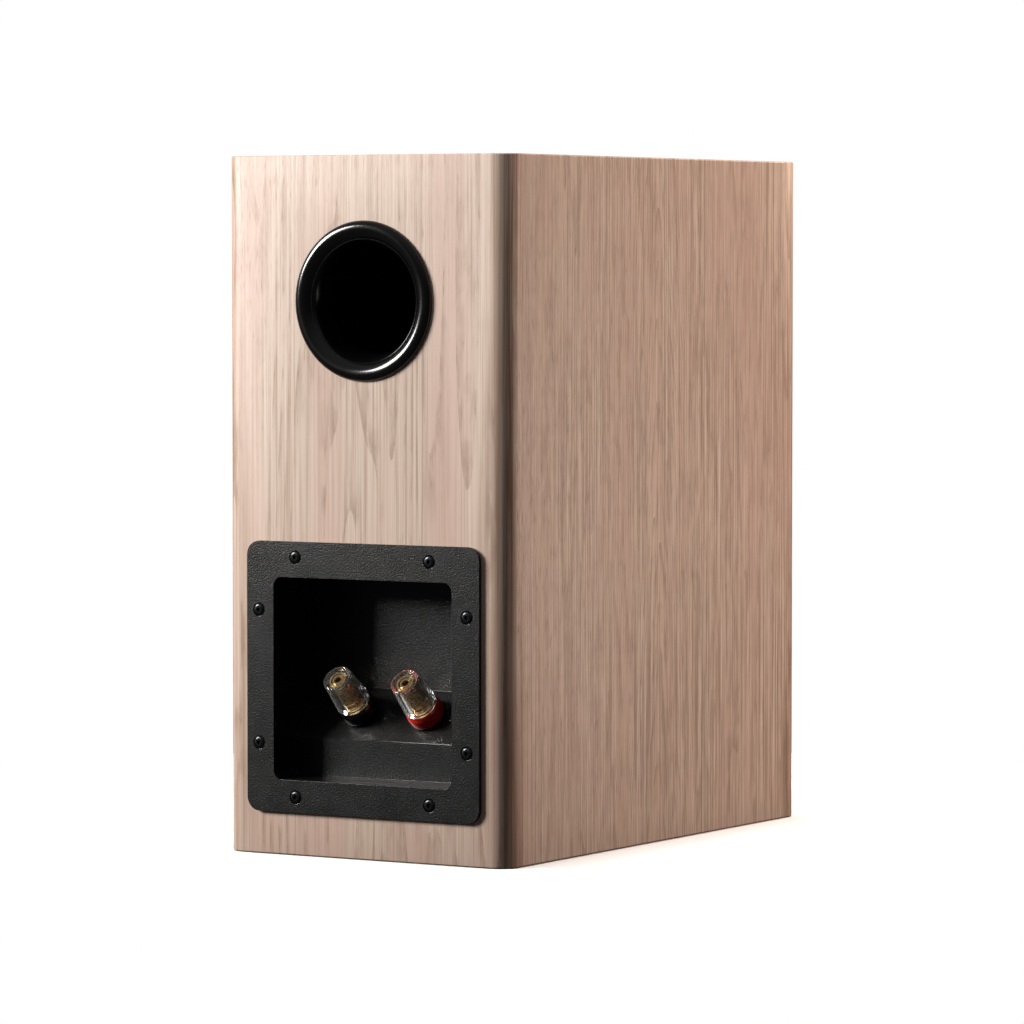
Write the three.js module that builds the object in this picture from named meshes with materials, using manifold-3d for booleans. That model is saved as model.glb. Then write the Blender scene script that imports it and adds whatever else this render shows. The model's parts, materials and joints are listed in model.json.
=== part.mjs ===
// Two-way rear-ported bookshelf loudspeaker.
//
// Frame: millimetres, +Z up, origin at the bottom centre of the cabinet. The drivers look along -Y,
// the port and the terminal tray open towards +Y.

import * as THREE from 'three';
import { mergeVertices } from 'three/addons/utils/BufferGeometryUtils.js';
import Module from 'manifold-3d';

const wasm = await Module();
wasm.setup();

// ---------------------------------------------------------------------------------------------
// Driving dimensions, in millimetres and degrees
// ---------------------------------------------------------------------------------------------

const GAP = 0.3; // clearance between pieces that sit against each other
const WELD = 1e-4; // corners closer than this are one corner
const OVERRUN = 2; // how far a cutter runs past the face that it opens

const SEGMENTS = { large: 32, medium: 20, small: 12, corner: 3 };

const cabinet = {
  width: 210,
  depth: 378,
  height: 440,
  edgeRadius: 13,
  baffle: 22,
  rear: 18,
  side: 18,
  top: 18,
  bottom: 18,
};

const brace = { thickness: 15, rim: 25, rib: 26, windowRadius: 15, aboveWoofer: 8 };

const port = {
  belowTop: 91,
  flangeRadius: 50.2,
  crestRadius: 45.5,
  crestHeight: 4,
  boreRadius: 33,
  wall: 2.6,
  mouthDepth: 21,
  length: 150,
  innerFlareRadius: 43,
  innerFlareLength: 22,
  innerFlareSweep: 82,
  collarThickness: 3,
  collarRamp: 3,
  panelHoleClearance: 0.6,
};

const tray = {
  centreHeight: 112.4,
  plateWidth: 172,
  plateHeight: 171,
  plateThickness: 2.7,
  plateRadius: 9,
  openingWidth: 132,
  openingHeight: 128,
  openingDrop: 1,
  openingRadius: 6,
  wall: 3,
  lowerDepth: 22,
  upperDepth: 48,
  draft: 3,
  holeClearance: 0.6,
};

const gasket = { width: 3.5, thickness: 1.2, rebate: 1.5 };

const screw = {
  headRadius: 4,
  headHeight: 2,
  socketRadius: 1.5,
  socketDepth: 1.3,
  shankRadius: 1.6,
  shankLength: 12,
  tipLength: 1.5,
  counterbore: 1.5,
  acrossTop: 49.6,
  upTop: 75.6,
  acrossSide: 77,
  upSide: 42,
};

const post = {
  spacing: 50,
  tilt: 40,
  footDepth: 35.4,
  footDrop: 23.9,
  studRadius: 4,
  studBehind: 14,
  studBelowTip: 1.6,
  bananaRadius: 2.1,
  bananaDepth: 18,
  collarRadius: 12,
  collarHeight: 11,
  collarRound: 1.6,
  capBaseRadius: 11.3,
  capTipRadius: 9.4,
  capLength: 25.5,
  capRound: 1.2,
  insertRadius: 6,
  washerRadius: 7,
  washerThickness: 1.6,
  nutAcross: 13,
  nutHeight: 5,
};

const woofer = {
  belowFaceplate: 12,
  flangeRadius: 85,
  flangeThickness: 5,
  flangeRelief: 1,
  ledgeRadius: 66,
  ledgeOuterRadius: 74,
  ledgeDepth: 1.3,
  legOuterRadius: 77.5,
  legThickness: 4.5,
  backRadius: 56,
  backThickness: 3,
  backHoleRadius: 20,
  backDepth: 50,
  spiderSeatDepth: 37,
  spiderLedge: 6,
  castWall: 5,
  windows: 6,
  windowWidth: 38,
  windowFront: 8,
  windowBack: 33,
  holeClearance: 0.5,
  surroundInnerRadius: 53,
  surroundRollInner: 57,
  surroundRollOuter: 67,
  surroundHeight: 4,
  surroundThickness: 0.8,
  coneThickness: 0.8,
  coneEdgeRadius: 56.5,
  coneNeckDepth: 21,
  coneCurve: 1.25,
  capRadius: 18,
  capRise: 6,
  capThickness: 1,
  formerRadius: 15.7,
  formerThickness: 0.5,
  coilRadius: 16.3,
  coilLength: 16,
  spiderOuterRadius: 51,
  spiderThickness: 0.8,
  spiderWaves: 3,
  spiderWaveHeight: 1.4,
  topPlateThickness: 6,
  gapOuterRadius: 17.2,
  topPlateRadius: 46,
  magnetRadius: 50,
  magnetInnerRadius: 21,
  magnetThickness: 16,
  poleRadius: 14.6,
  ventRadius: 5,
  yokeRadius: 46,
  yokeThickness: 6,
};

const tweeter = {
  belowTop: 88,
  plateRadius: 50,
  plateThickness: 4,
  guideRadius: 30,
  mouthRadius: 18.5,
  mouthDepth: 2.8,
  bodyHoleRadius: 38,
  domeRadius: 13.2,
  domeRise: 6.2,
  domeBaseDepth: 5.6,
  domeThickness: 0.7,
  surroundRollRadius: 17.2,
  surroundFootRadius: 24,
  surroundHeight: 1.2,
  surroundThickness: 0.7,
  coilRadius: 13.1,
  coilThickness: 0.7,
  coilLength: 7,
  topPlateDepth: 8,
  topPlateRadius: 33,
  topPlateThickness: 4,
  gapOuterRadius: 13.6,
  magnetRadius: 36,
  magnetInnerRadius: 18,
  magnetThickness: 10,
  poleRadius: 11.9,
  yokeRadius: 32,
  yokeThickness: 4,
  chamberRadius: 30,
  chamberDepth: 20,
  chamberWall: 2,
};

const crossover = {
  boardWidth: 130,
  boardDepth: 106,
  boardThickness: 1.6,
  standoff: 8,
  standoffRadius: 4,
  standoffInset: 8,
  behindBaffle: 48,
  wooferCoil: { outer: 26, inner: 14, height: 24, x: -36, y: 18 },
  tweeterCoil: { outer: 17, inner: 8, height: 15, x: 42, y: 26 },
  wooferCapacitor: { radius: 14, length: 46, x: 30, y: -33 },
  tweeterCapacitor: { radius: 9, length: 34, x: 38, y: -3 },
  resistor: { length: 30, width: 11, height: 10, x: -38, y: -20 },
};

const wadding = { thickness: 14.5, frontClearance: 16, rearClearance: 22, endClearance: 7 };

const lead = { radius: 1.7, sides: 6, steps: 18 };

// ---------------------------------------------------------------------------------------------
// Places that follow from the dimensions
// ---------------------------------------------------------------------------------------------

const frontY = -cabinet.depth / 2;
const rearY = cabinet.depth / 2;
const innerFrontY = frontY + cabinet.baffle;
const innerRearY = rearY - cabinet.rear;
const innerX = cabinet.width / 2 - cabinet.side;
const ceilingZ = cabinet.height - cabinet.top;
const tweeterZ = cabinet.height - tweeter.belowTop;
const wooferZ = tweeterZ - tweeter.plateRadius - woofer.belowFaceplate - woofer.flangeRadius;
const portZ = cabinet.height - port.belowTop;
const braceZ = wooferZ + woofer.legOuterRadius + brace.aboveWoofer / 2 - GAP;
const plateFaceY = rearY + GAP + tray.plateThickness;
const openingZ = tray.centreHeight - tray.openingDrop;
const tilt = THREE.MathUtils.degToRad(post.tilt);
const postFoot = { y: rearY - post.footDepth, z: tray.centreHeight - post.footDrop };

// ---------------------------------------------------------------------------------------------
// Geometry helpers
// ---------------------------------------------------------------------------------------------

/** Returns a geometry as one closed body: corners welded, slivers dropped, faces turned outwards. */
function closedBody(geometry) {
  const bare = geometry.index ? geometry.clone() : geometry;
  bare.deleteAttribute('normal');
  bare.deleteAttribute('uv');
  const body = mergeVertices(bare, WELD);
  const kept = [];
  const index = body.index.array;
  for (let i = 0; i < index.length; i += 3) {
    const [a, b, c] = [index[i], index[i + 1], index[i + 2]];
    if (a !== b && b !== c && c !== a) kept.push([a, b, c]);
  }
  const at = (i) => new THREE.Vector3().fromBufferAttribute(body.attributes.position, i);
  const volume = kept.reduce((sum, [a, b, c]) => sum + at(a).dot(at(b).cross(at(c))), 0);
  const facing = kept.map(([a, b, c]) => (volume < 0 ? [a, c, b] : [a, b, c]));
  body.setIndex(facing.flat());
  return body;
}

/** Turns a closed geometry into a solid that can be joined and cut. */
function solid(geometry) {
  const body = closedBody(geometry);
  return new wasm.Manifold(
    new wasm.Mesh({
      numProp: 3,
      vertProperties: new Float32Array(body.attributes.position.array),
      triVerts: new Uint32Array(body.index.array),
    }),
  );
}

/** Turns a joined or cut solid back into a geometry. */
function geometryOf(cutSolid) {
  const mesh = cutSolid.getMesh();
  const geometry = new THREE.BufferGeometry();
  geometry.setAttribute('position', new THREE.BufferAttribute(new Float32Array(mesh.vertProperties), 3));
  geometry.setIndex(new THREE.BufferAttribute(new Uint32Array(mesh.triVerts), 1));
  return geometry;
}

/** Joins a list of geometries, then cuts another list from the result. */
function shaped(joined, cutters = []) {
  const [first, ...others] = joined.map(solid);
  const whole = others.reduce((sum, next) => sum.add(next), first);
  return geometryOf(cutters.map(solid).reduce((rest, cutter) => rest.subtract(cutter), whole));
}

/** Keeps what two geometries share. */
function common(a, b) {
  return geometryOf(solid(a).intersect(solid(b)));
}

/** A shape outline from corner points. */
function outline(points) {
  return new THREE.Shape(points.map(([x, y]) => new THREE.Vector2(x, y)));
}

/** A rectangle centred on (x, y) with round corners. */
function roundedRectangle(width, height, radius, x = 0, y = 0) {
  const shape = new THREE.Shape();
  const [w, h] = [width / 2 - radius, height / 2 - radius];
  shape.absarc(x + w, y - h, radius, -Math.PI / 2, 0);
  shape.absarc(x + w, y + h, radius, 0, Math.PI / 2);
  shape.absarc(x - w, y + h, radius, Math.PI / 2, Math.PI);
  shape.absarc(x - w, y - h, radius, Math.PI, Math.PI * 1.5);
  return shape;
}

/** Extrudes an outline in X and Y from z0 up to z1. */
function slabZ(shape, z0, z1, curveSegments = SEGMENTS.corner) {
  const extrusion = { depth: z1 - z0, bevelEnabled: false, curveSegments };
  return new THREE.ExtrudeGeometry(shape, extrusion).translate(0, 0, z0);
}

/** Extrudes an outline in X and Z from y0 to y1. */
function slabY(shape, y0, y1, curveSegments = SEGMENTS.corner) {
  return slabZ(shape, 0, y1 - y0, curveSegments)
    .rotateX(Math.PI / 2)
    .translate(0, y1, 0);
}

/** Extrudes an outline in Y and Z from x0 to x1. */
function slabX(shape, x0, x1) {
  const turn = new THREE.Matrix4().makeBasis(
    new THREE.Vector3(0, 1, 0),
    new THREE.Vector3(0, 0, 1),
    new THREE.Vector3(1, 0, 0),
  );
  return slabZ(shape, 0, x1 - x0)
    .applyMatrix4(turn)
    .translate(x0, 0, 0);
}

/** A block between two corners. */
function block(low, high) {
  const size = high.map((value, i) => value - low[i]);
  return new THREE.BoxGeometry(...size).translate(...low.map((value, i) => value + size[i] / 2));
}

/** Turns a profile of (radius, distance along Y) about the Y axis. */
function turned(profile, segments = SEGMENTS.medium) {
  const onAxis = profile[0][0] === 0;
  const loop = onAxis ? profile : [...profile, profile[0]];
  return closedBody(new THREE.LatheGeometry(loop.map(([r, y]) => new THREE.Vector2(r, y)), segments));
}

/** A plain ring about the Y axis. */
function ring(outer, inner, y0, y1, segments = SEGMENTS.medium) {
  return turned([[outer, y0], [outer, y1], [inner, y1], [inner, y0]], segments);
}

/** A thin dome about the Y axis, its foot at y and its crown rising towards -Y. */
function dome(radius, rise, thickness, y, segments = SEGMENTS.medium) {
  const outer = arc([0, y], radius, -rise, 90, 0, 5);
  const inner = arc([0, y], radius - thickness, thickness - rise, 0, 90, 5);
  outer[0][0] = 0;
  inner[inner.length - 1][0] = 0;
  return turned([...outer, ...inner], segments);
}

/** A plain rod along the Y axis. */
function rod(radius, y0, y1, segments = SEGMENTS.small) {
  return turned([[0, y0], [radius, y0], [radius, y1], [0, y1]], segments);
}

/** Points along an arc in the (radius, y) half plane, both ends included. */
function arc(centre, radiusR, radiusY, from, to, steps) {
  return Array.from({ length: steps + 1 }, (_, i) => {
    const angle = THREE.MathUtils.degToRad(from + ((to - from) * i) / steps);
    return [centre[0] + radiusR * Math.cos(angle), centre[1] + radiusY * Math.sin(angle)];
  });
}

/** A thin skin of revolution: a centre line given a wall thickness along Y. */
function skin(line, thickness) {
  const far = line.map(([r, y]) => [r, y + thickness]).reverse();
  return [...line, ...far];
}

// ---------------------------------------------------------------------------------------------
// Colours and finishes
// ---------------------------------------------------------------------------------------------

const finish = {
  veneer: { color: 0xd9c3ac, roughness: 0.5, metalness: 0 },
  board: { color: 0xb08f6d, roughness: 0.9, metalness: 0 },
  blackPlastic: { color: 0x1c1c1c, roughness: 0.6, metalness: 0 },
  glossBlack: { color: 0x0c0c0c, roughness: 0.25, metalness: 0 },
  glossRed: { color: 0xb4120e, roughness: 0.25, metalness: 0 },
  clear: { color: 0xe8e6e0, roughness: 0.08, metalness: 0, transparent: true, opacity: 0.35 },
  brass: { color: 0xc08a4a, roughness: 0.25, metalness: 1 },
  steel: { color: 0x8f9194, roughness: 0.35, metalness: 1 },
  blackSteel: { color: 0x161616, roughness: 0.4, metalness: 0.8 },
  ferrite: { color: 0x2c2c2f, roughness: 0.8, metalness: 0 },
  castMetal: { color: 0x2a2b2d, roughness: 0.55, metalness: 0.7 },
  rubber: { color: 0x121212, roughness: 0.8, metalness: 0 },
  paperCone: { color: 0x26272a, roughness: 0.9, metalness: 0 },
  spiderCloth: { color: 0xb98a3c, roughness: 0.95, metalness: 0 },
  silk: { color: 0x1d1d20, roughness: 0.7, metalness: 0 },
  copper: { color: 0xb8693c, roughness: 0.35, metalness: 1 },
  circuitBoard: { color: 0x5d4a2b, roughness: 0.6, metalness: 0 },
  film: { color: 0xc9a227, roughness: 0.4, metalness: 0 },
  cement: { color: 0xe6e2d8, roughness: 0.9, metalness: 0 },
  wool: { color: 0xe3e0d8, roughness: 1, metalness: 0 },
  foam: { color: 0x303030, roughness: 1, metalness: 0 },
  redLead: { color: 0xb3201b, roughness: 0.5, metalness: 0 },
  blackLead: { color: 0x181818, roughness: 0.5, metalness: 0 },
};

const speaker = new THREE.Group();

/** Adds one named piece to a group. */
function piece(name, geometry, look, parent = speaker) {
  const mesh = new THREE.Mesh(closedBody(geometry), new THREE.MeshStandardMaterial(look));
  mesh.name = name;
  parent.add(mesh);
  return mesh;
}

/** Adds a sub-group at a place, turned about X. */
function assembly(x, y, z, turnX = 0) {
  const group = new THREE.Group();
  group.position.set(x, y, z);
  group.rotation.x = turnX;
  speaker.add(group);
  return group;
}

// ---------------------------------------------------------------------------------------------
// Cabinet
// ---------------------------------------------------------------------------------------------

/** Plan of a front or rear board, its outer vertical edges rounded; outer is -1 at the front, +1 behind. */
function endBoardPlan(outerY, thickness, outward) {
  const half = cabinet.width / 2;
  const radius = Math.min(cabinet.edgeRadius, thickness - GAP);
  const shape = new THREE.Shape();
  const innerY = outerY - outward * thickness;
  const turnY = outerY - outward * radius;
  shape.moveTo(-half, innerY);
  shape.lineTo(half, innerY);
  shape.lineTo(half, turnY);
  shape.absarc(half - radius, turnY, radius, 0, (outward * Math.PI) / 2, outward < 0);
  shape.absarc(-half + radius, turnY, radius, (outward * Math.PI) / 2, outward * Math.PI, outward < 0);
  shape.lineTo(-half, innerY);
  return shape;
}

function driverHole(z, rebateRadius, rebateDepth, holeRadius) {
  const rebate = rod(rebateRadius, frontY - OVERRUN, frontY + rebateDepth, SEGMENTS.large).translate(0, 0, z);
  const hole = rod(holeRadius, frontY, innerFrontY + OVERRUN, SEGMENTS.large).translate(0, 0, z);
  return [rebate, hole];
}

function buildFrontBaffle() {
  const body = slabZ(endBoardPlan(frontY, cabinet.baffle, -1), 0, cabinet.height);
  const cutters = [
    ...driverHole(
      wooferZ,
      woofer.flangeRadius + GAP,
      woofer.flangeThickness + GAP,
      woofer.legOuterRadius + woofer.holeClearance,
    ),
    ...driverHole(tweeterZ, tweeter.plateRadius + GAP, tweeter.plateThickness + GAP, tweeter.bodyHoleRadius),
  ];
  piece('front_baffle', shaped([body], cutters), finish.veneer);
}

const cup = {
  width: tray.openingWidth + 2 * tray.wall,
  height: tray.openingHeight + 2 * tray.wall,
  radius: tray.openingRadius + tray.wall,
};

const panelHole = {
  width: cup.width + 2 * tray.holeClearance,
  height: cup.height + 2 * tray.holeClearance,
  radius: cup.radius + tray.holeClearance,
};

const gasketOuter = {
  width: panelHole.width + 2 * gasket.width,
  height: panelHole.height + 2 * gasket.width,
  radius: panelHole.radius + gasket.width,
};

/** The eight screw places on the terminal plate, as (x, z). */
const screwPlaces = [
  [-screw.acrossTop, screw.upTop],
  [screw.acrossTop, screw.upTop],
  [screw.acrossSide, screw.upSide],
  [screw.acrossSide, -screw.upSide],
  [screw.acrossTop, -screw.upTop],
  [-screw.acrossTop, -screw.upTop],
  [-screw.acrossSide, -screw.upSide],
  [-screw.acrossSide, screw.upSide],
].map(([x, up]) => [x, tray.centreHeight + up]);

function buildRearPanel() {
  const body = slabZ(endBoardPlan(rearY, cabinet.rear, 1), 0, cabinet.height);
  const portHole = rod(
    port.boreRadius + port.wall + port.collarThickness + port.panelHoleClearance,
    innerRearY - OVERRUN,
    rearY + OVERRUN,
    SEGMENTS.large,
  ).translate(0, 0, portZ);
  const trayHole = slabY(
    roundedRectangle(panelHole.width, panelHole.height, panelHole.radius, 0, openingZ),
    innerRearY - OVERRUN,
    rearY + OVERRUN,
  );
  const rebate = slabY(
    roundedRectangle(
      gasketOuter.width + 2 * GAP,
      gasketOuter.height + 2 * GAP,
      gasketOuter.radius + GAP,
      0,
      openingZ,
    ),
    rearY - gasket.rebate,
    rearY + OVERRUN,
  );
  const depth = screw.shankLength + screw.tipLength + OVERRUN;
  const pilots = screwPlaces.map(([x, z]) =>
    rod(screw.shankRadius + GAP, rearY - depth, rearY + OVERRUN, 8).translate(x, 0, z),
  );
  piece('rear_panel', shaped([body], [portHole, trayHole, rebate, ...pilots]), finish.veneer);
}

function buildShellPanels() {
  const y0 = innerFrontY + GAP;
  const y1 = innerRearY - GAP;
  for (const [name, side] of [['left_side_panel', 1], ['right_side_panel', -1]]) {
    const xs = [side * innerX, (side * cabinet.width) / 2].sort((a, b) => a - b);
    piece(name, block([xs[0], y0, 0], [xs[1], y1, cabinet.height]), finish.veneer);
  }
  const x = innerX - GAP;
  piece('top_panel', block([-x, y0, ceilingZ], [x, y1, cabinet.height]), finish.veneer);
  piece('bottom_panel', block([-x, y0, 0], [x, y1, cabinet.bottom]), finish.veneer);
}

function buildBrace() {
  const x = innerX - GAP;
  const y0 = innerFrontY + GAP;
  const y1 = innerRearY - GAP;
  const windowWidth = 2 * (x - brace.rim);
  const windowDepth = (y1 - y0 - 2 * brace.rim - brace.rib) / 2;
  const shape = outline([[-x, y0], [x, y0], [x, y1], [-x, y1]]);
  for (const side of [-1, 1]) {
    const middle = (y0 + y1) / 2 + (side * (windowDepth + brace.rib)) / 2;
    shape.holes.push(roundedRectangle(windowWidth, windowDepth, brace.windowRadius, 0, middle));
  }
  piece('window_brace', slabZ(shape, braceZ, braceZ + brace.thickness), finish.board);
}

function buildWadding() {
  const y0 = innerFrontY + wadding.frontClearance;
  const y1 = innerRearY - wadding.rearClearance;
  const z0 = cabinet.bottom + wadding.endClearance;
  const z1 = braceZ - wadding.endClearance;
  for (const [name, side] of [['wadding_left', 1], ['wadding_right', -1]]) {
    const near = side * (innerX - GAP);
    const far = side * (innerX - GAP - wadding.thickness);
    const xs = [near, far].sort((a, b) => a - b);
    piece(name, block([xs[0], y0, z0], [xs[1], y1, z1]), finish.wool);
  }
}

// ---------------------------------------------------------------------------------------------
// Port: a flared mouth with its tube, and a flared inner end
// ---------------------------------------------------------------------------------------------

function buildPort() {
  const group = assembly(0, rearY, portZ);
  const bore = port.boreRadius;
  const outside = bore + port.wall;
  const lipHalf = port.crestRadius - bore;
  const outerHalf = port.flangeRadius - port.crestRadius;
  const outerLip = arc([port.crestRadius, GAP], outerHalf, port.crestHeight - GAP, 0, 90, 3);
  const lipDrop = port.mouthDepth + port.crestHeight;
  const innerLip = arc([port.crestRadius, -port.mouthDepth], lipHalf, lipDrop, 90, 180, 5);
  const tubeEnd = -(port.length - port.innerFlareLength);
  const underFlange = outside + port.collarThickness;
  const mouthProfile = [
    ...outerLip,
    ...innerLip.slice(1),
    [bore, tubeEnd],
    [outside, tubeEnd],
    [outside, -cabinet.rear],
    [underFlange, -cabinet.rear + port.collarRamp],
    [underFlange, GAP],
  ];
  piece('port_tube', turned(mouthProfile, SEGMENTS.large), finish.glossBlack, group);

  const flareHalf = port.innerFlareRadius - bore;
  const centre = [port.innerFlareRadius, tubeEnd - GAP];
  const sweepEnd = 180 + port.innerFlareSweep;
  const inner = arc(centre, flareHalf, port.innerFlareLength, 180, sweepEnd, 4);
  const outer = arc(centre, flareHalf - port.wall, port.innerFlareLength - port.wall, sweepEnd, 180, 4);
  piece('port_inner_flare', turned([...inner, ...outer], SEGMENTS.large), finish.blackPlastic, group);
}

// ---------------------------------------------------------------------------------------------
// Terminal tray: a plate with a deep recess whose slanted shelf carries the two binding posts
// ---------------------------------------------------------------------------------------------

/** Height of the shelf surface at a given y, moved back by the offset along its normal. */
function shelfHeight(y, offset = 0) {
  const y0 = postFoot.y - offset * Math.cos(tilt);
  const z0 = postFoot.z - offset * Math.sin(tilt);
  return z0 + (y0 - y) / Math.tan(tilt);
}

/** Side profile of the recess grown by a wall thickness, running past the plate's face by the overrun. */
function recessProfile(wall, overrun) {
  const lowerY = rearY - tray.lowerDepth - wall;
  const backY = rearY - tray.upperDepth - wall;
  const slope = Math.tan(THREE.MathUtils.degToRad(tray.draft));
  const half = tray.openingHeight / 2 + wall;
  const corners = [
    [plateFaceY, openingZ - half],
    [lowerY, openingZ - half + slope * (plateFaceY - lowerY)],
    [lowerY, shelfHeight(lowerY, wall)],
    [backY, shelfHeight(backY, wall)],
    [backY, openingZ + half - slope * (plateFaceY - backY)],
    [plateFaceY, openingZ + half],
  ];
  const mouth = [
    [plateFaceY + overrun, openingZ + half],
    [plateFaceY + overrun, openingZ - half],
  ];
  return outline(overrun > 0 ? [...corners, ...mouth] : corners);
}

function postFrame(x) {
  return new THREE.Matrix4()
    .makeTranslation(x, postFoot.y, postFoot.z)
    .multiply(new THREE.Matrix4().makeRotationX(tilt));
}

const postPlaces = { red: -post.spacing / 2, black: post.spacing / 2 };

function buildTray() {
  const plate = slabY(
    roundedRectangle(tray.plateWidth, tray.plateHeight, tray.plateRadius, 0, tray.centreHeight),
    rearY + GAP,
    plateFaceY,
  );
  const reach = rearY - tray.upperDepth - 3 * tray.wall;
  const outside = common(
    slabX(recessProfile(tray.wall, 0), -cup.width / 2, cup.width / 2),
    slabY(roundedRectangle(cup.width, cup.height, cup.radius, 0, openingZ), reach, plateFaceY),
  );
  const inside = common(
    slabX(recessProfile(0, OVERRUN), -tray.openingWidth / 2, tray.openingWidth / 2),
    slabY(
      roundedRectangle(tray.openingWidth, tray.openingHeight, tray.openingRadius, 0, openingZ),
      reach,
      plateFaceY + OVERRUN,
    ),
  );
  const studHoles = Object.values(postPlaces).map((x) =>
    rod(post.studRadius + GAP, -3 * tray.wall, 2 * tray.wall, 10).applyMatrix4(postFrame(x)),
  );
  const screwHoles = screwPlaces.flatMap(([x, z]) => [
    rod(screw.shankRadius + GAP, rearY, plateFaceY + OVERRUN, 8).translate(x, 0, z),
    rod(screw.headRadius + GAP, plateFaceY - screw.counterbore, plateFaceY + OVERRUN, 8).translate(x, 0, z),
  ]);
  const body = shaped([plate, outside], [inside, ...studHoles, ...screwHoles]);
  piece('terminal_tray', body, finish.blackPlastic);
}

function buildGasket() {
  const shape = roundedRectangle(gasketOuter.width, gasketOuter.height, gasketOuter.radius, 0, openingZ);
  shape.holes.push(roundedRectangle(panelHole.width, panelHole.height, panelHole.radius, 0, openingZ));
  const back = rearY - gasket.rebate + GAP;
  piece('terminal_gasket', slabY(shape, back, back + gasket.thickness), finish.foam);
}

function buildTerminalScrews() {
  const seat = plateFaceY - screw.counterbore + GAP;
  const top = seat + screw.headHeight;
  const end = seat - screw.shankLength;
  const profile = [
    [0, top - screw.socketDepth],
    [screw.socketRadius, top - screw.socketDepth],
    [screw.socketRadius, top],
    [screw.headRadius, top],
    [screw.headRadius, seat],
    [screw.shankRadius, seat],
    [screw.shankRadius, end],
    [0, end - screw.tipLength],
  ];
  screwPlaces.forEach(([x, z], i) => {
    const mesh = piece(`terminal_screw_${i + 1}`, turned(profile, 8), finish.blackSteel);
    mesh.position.set(x, 0, z);
  });
}

function buildBindingPost(colour, collarLook) {
  const group = assembly(postPlaces[colour], postFoot.y, postFoot.z, tilt);
  const boreRadius = post.studRadius + GAP;
  const collarTop = GAP + post.collarHeight;
  const round = post.collarRound;
  const collar = [
    [boreRadius, GAP],
    [post.collarRadius, GAP],
    ...arc([post.collarRadius - round, collarTop - round], round, round, 0, 90, 2),
    [boreRadius, collarTop],
  ];
  piece(`${colour}_collar`, turned(collar), collarLook, group);

  const capFoot = collarTop + GAP;
  const capTop = capFoot + post.capLength;
  const seat = capFoot + post.washerThickness + GAP;
  const insertBore = post.insertRadius + GAP;
  const rounding = [post.capTipRadius - post.capRound, capTop - post.capRound];
  const cap = [
    [post.washerRadius + GAP, capFoot],
    [post.capBaseRadius - post.capRound, capFoot],
    [post.capBaseRadius, capFoot + post.capRound],
    ...arc(rounding, post.capRound, post.capRound, 0, 90, 2),
    [insertBore, capTop],
    [insertBore, seat],
    [post.washerRadius + GAP, seat],
  ];
  piece(`${colour}_cap`, turned(cap), finish.clear, group);
  const insert = ring(post.insertRadius, boreRadius, seat + GAP, capTop - GAP, SEGMENTS.small);
  piece(`${colour}_cap_insert`, insert, finish.brass, group);
  const washer = ring(post.washerRadius, boreRadius, capFoot, capFoot + post.washerThickness, SEGMENTS.small);
  piece(`${colour}_clamp_washer`, washer, finish.brass, group);

  const tip = capTop - post.studBelowTip;
  const back = -tray.wall - post.studBehind;
  const stud = [
    [0, back],
    [post.studRadius, back],
    [post.studRadius, tip],
    [post.bananaRadius, tip],
    [post.bananaRadius, tip - post.bananaDepth],
    [0, tip - post.bananaDepth],
  ];
  piece(`${colour}_stud`, turned(stud, SEGMENTS.small), finish.brass, group);

  const corner = post.nutAcross / 2 / Math.cos(Math.PI / 6);
  const hexagon = Array.from({ length: 6 }, (_, i) => {
    const angle = (i * Math.PI) / 3;
    return [corner * Math.cos(angle), corner * Math.sin(angle)];
  });
  const nutShape = outline(hexagon);
  nutShape.holes.push(new THREE.Path().absarc(0, 0, boreRadius, 0, Math.PI * 2));
  const nutFace = -tray.wall - GAP;
  piece(`${colour}_rear_nut`, slabY(nutShape, nutFace - post.nutHeight, nutFace, 6), finish.brass, group);
}

// ---------------------------------------------------------------------------------------------
// Woofer; distances run inwards from the front of the baffle
// ---------------------------------------------------------------------------------------------

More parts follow.
